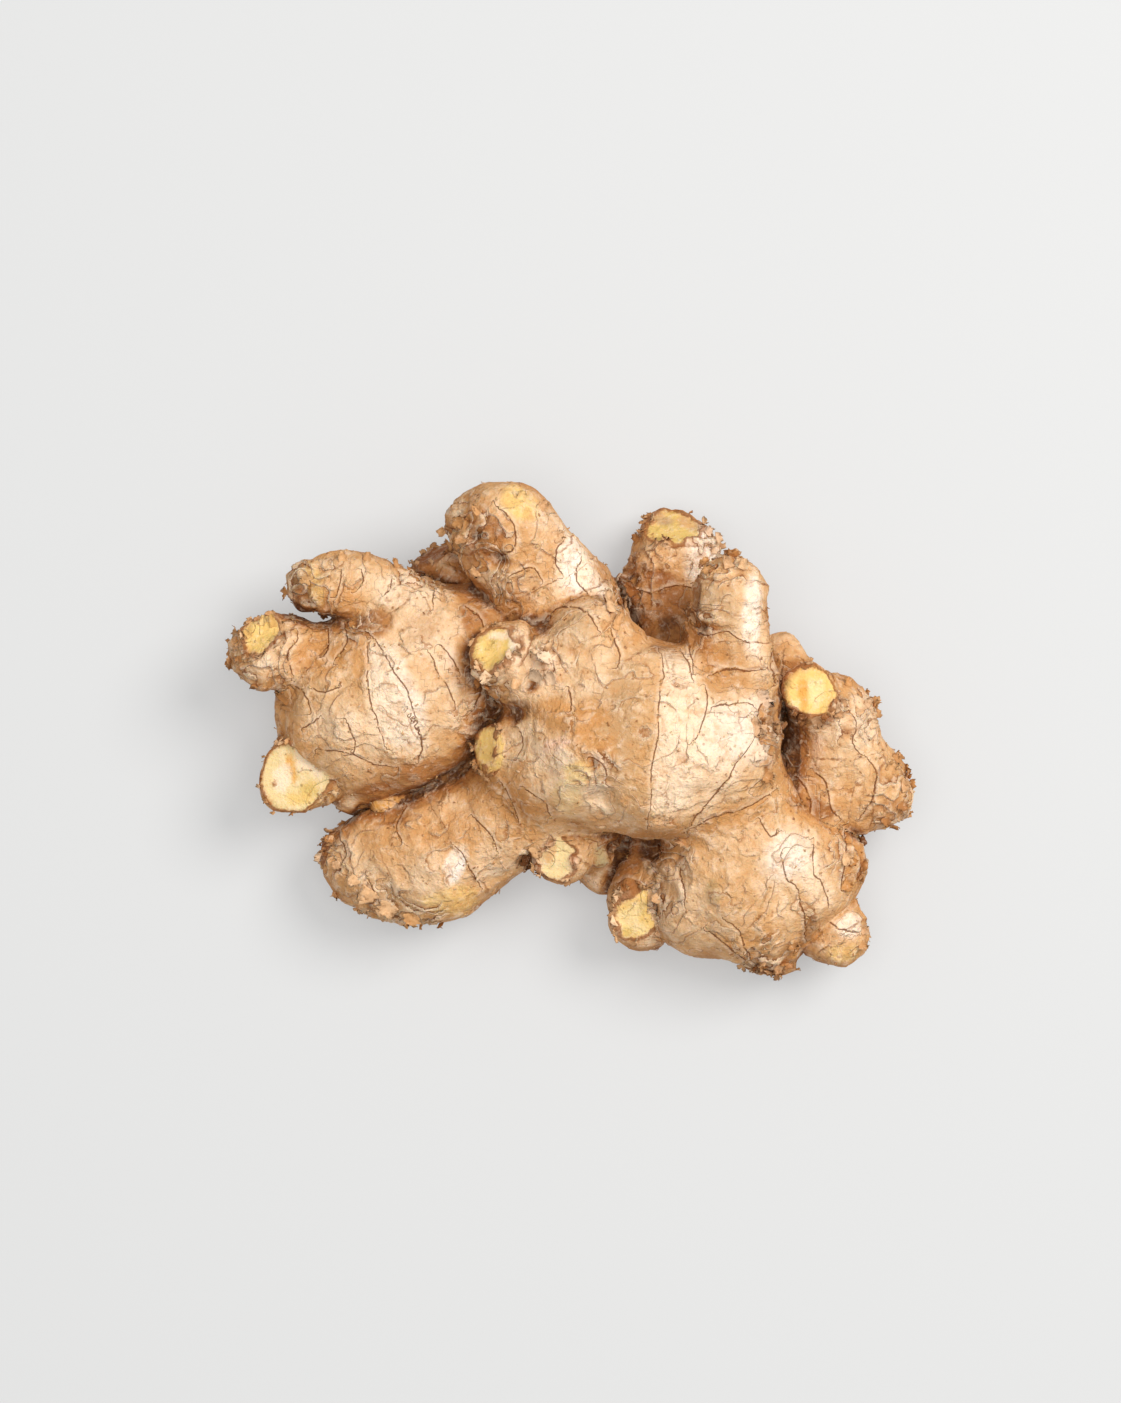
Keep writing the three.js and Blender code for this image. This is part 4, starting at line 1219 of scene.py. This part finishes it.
# %% One scattered sheet
def scatter(k, heading, tones, own, length, width, lift, curl, grid):
    """One sheet at skin point k. Each measure is drawn between its lowest and its highest value."""
    tone = tones[RANDOM.integers(len(tones))]
    size = (RANDOM.uniform(*length), RANDOM.uniform(*width))
    paper.add(places[k], outward[k], heading, size, RANDOM.uniform(*lift), RANDOM.uniform(*curl), grid,
              own * paint[k] + (1 - own) * tone)


# %% Loose skin on the flanks of torn places
LOOSE = 130
odds = torn ** 2 * smoothstep(0.75, 0.35, np.abs(outward[:, 2]))
odds *= smoothstep(2, 5, places[:, 2]) * (scar_gap < -1)
paper = Paper()
for k in RANDOM.choice(count, LOOSE, replace=False, p=odds / odds.sum()):
    heading = RANDOM.normal(0, 1, 3) + 0.6 * outward[k] + [0, 0, 0.6]
    scatter(k, heading, [CREAM, TAN, ORANGE, ORANGE, BROWN], 0.75, (1, 2), (1.6, 3), (0.15, 0.7), (0.3, 1.1),
            (4, 5))
paper.piece("loose_skin", PAPER)

# %% Ragged edges round the cuts
COLLAR = 12
COLLAR_TONES = [0.4 * CREAM + 0.6 * tone for tone in (CREAM, TAN, TAN, ORANGE, BROWN, BROWN)]
paper = Paper()
for i in sorted(set(scar_of) - {-1}):
    edge = np.flatnonzero((scar_of == i) & (np.abs(scar_gap + 0.4) < 0.5))
    if not len(edge):
        continue
    middle = places[(scar_of == i) & (scar_gap > -0.5)].mean(axis=0)
    for k in RANDOM.choice(edge, min(len(edge), COLLAR), replace=False):
        away = places[k] - middle
        heading = away * RANDOM.choice([-0.4, 1, 1]) + RANDOM.normal(0, 0.5 * np.linalg.norm(away), 3)
        scatter(k, heading, COLLAR_TONES, 0.5, (0.6, 1.3), (1.4, 3.4), (0.2, 1), (0.1, 0.9), (3, 6))
paper.piece("cut_edges", PAPER)

# %% Fibres and small flakes
FLECKS = 2000
FLECK_TONES = [CREAM, CREAM, PALE_YELLOW, PALE_YELLOW, ORANGE, BROWN]
odds = 0.12 + np.exp(-(ring_gap / 0.8) ** 2) * ring_mark + np.exp(-(crack_gap / 0.8) ** 2)
odds += 0.6 * np.exp(-((layer - 0.97) / 0.03) ** 2)
odds *= (scar_gap < -0.5) * smoothstep(1, 4, places[:, 2])
paper = Paper()
for k in RANDOM.choice(count, FLECKS, replace=False, p=odds / odds.sum()):
    scatter(k, RANDOM.normal(0, 1, 3), FLECK_TONES, 0.5, (0.3, 0.95), (0.2, 0.55), (0.05, 0.25), (0, 0.7),
            (2, 1))
paper.piece("fibres", PAPER)

# %% [markdown]
# ## Table, light and camera
# The table is plain and pale and glows weakly of its own, which lightens the shadows on it. One large soft
# light stands to the upper right, as a window would, and the room fills in the rest, so the shadows fall
# softly to the lower left. The camera looks straight down.

# %% Table
TABLE_HALF = 3.0
BELOW = 0.02  # the table is a hair below the flat spots, so that the two never share a plane
bm = bmesh.new()
bmesh.ops.create_grid(bm, x_segments=1, y_segments=1, size=TABLE_HALF,
                      matrix=Matrix.Translation((0, 0, -BELOW * MM)))
table_mesh = bpy.data.meshes.new("table")
bm.to_mesh(table_mesh)
bm.free()
table = bpy.data.objects.new("table", table_mesh)
bpy.context.scene.collection.objects.link(table)
glowing_table_look = Finish("glowing pale table")
# The emission is a weak glow of the table's own, which lightens the shadows on it and lights the hand a
# little from below.
for key, value in {"Base Color": (0.345, 0.345, 0.345, 1), "Emission Color": (0.96, 0.985, 1.0, 1),
                   "Emission Strength": 0.34, "Roughness": 0.9}.items():
    glowing_table_look.put(glowing_table_look.shader.inputs[key], value)
table_mesh.materials.append(glowing_table_look.material)
print("table, m:", 2 * TABLE_HALF)


# %% Light
def soft_light(name, place, size, power, colour):
    lamp = bpy.data.lights.new(name, "AREA")
    lamp.shape = "DISK"
    lamp.size = size
    lamp.energy = power
    lamp.color = colour
    made = bpy.data.objects.new(name, lamp)
    made.location = place
    made.rotation_euler = (Vector((0, 0, 0.02)) - Vector(place)).to_track_quat("-Z", "Y").to_euler()
    bpy.context.scene.collection.objects.link(made)


soft_light("window", (0.65, 0.42, 1.0), 0.7, 12.5, (1.0, 0.985, 0.96))
soft_light("ceiling", (-0.1, 0.0, 1.6), 1.3, 12, (1.0, 0.99, 0.975))
world = bpy.data.worlds.new("room")
world.use_nodes = True
world.node_tree.nodes["Background"].inputs["Color"].default_value = (1.0, 0.975, 0.945, 1)
world.node_tree.nodes["Background"].inputs["Strength"].default_value = 0.42
bpy.context.scene.world = world
bpy.context.scene.view_settings.view_transform = "Standard"

# %% Camera
EYE = (-2.64, 6.27)
EYE_HEIGHT = 920.0
LENS = 105.0
SENSOR = 36.0
camera_data = bpy.data.cameras.new("camera")
camera_data.sensor_fit = "VERTICAL"
camera_data.sensor_height = SENSOR
camera_data.lens = LENS
camera = bpy.data.objects.new("camera", camera_data)
camera.location = (EYE[0] * MM, EYE[1] * MM, EYE_HEIGHT * MM)
bpy.context.scene.collection.objects.link(camera)
bpy.context.scene.camera = camera
print("camera, m:", [round(v, 3) for v in camera.location])
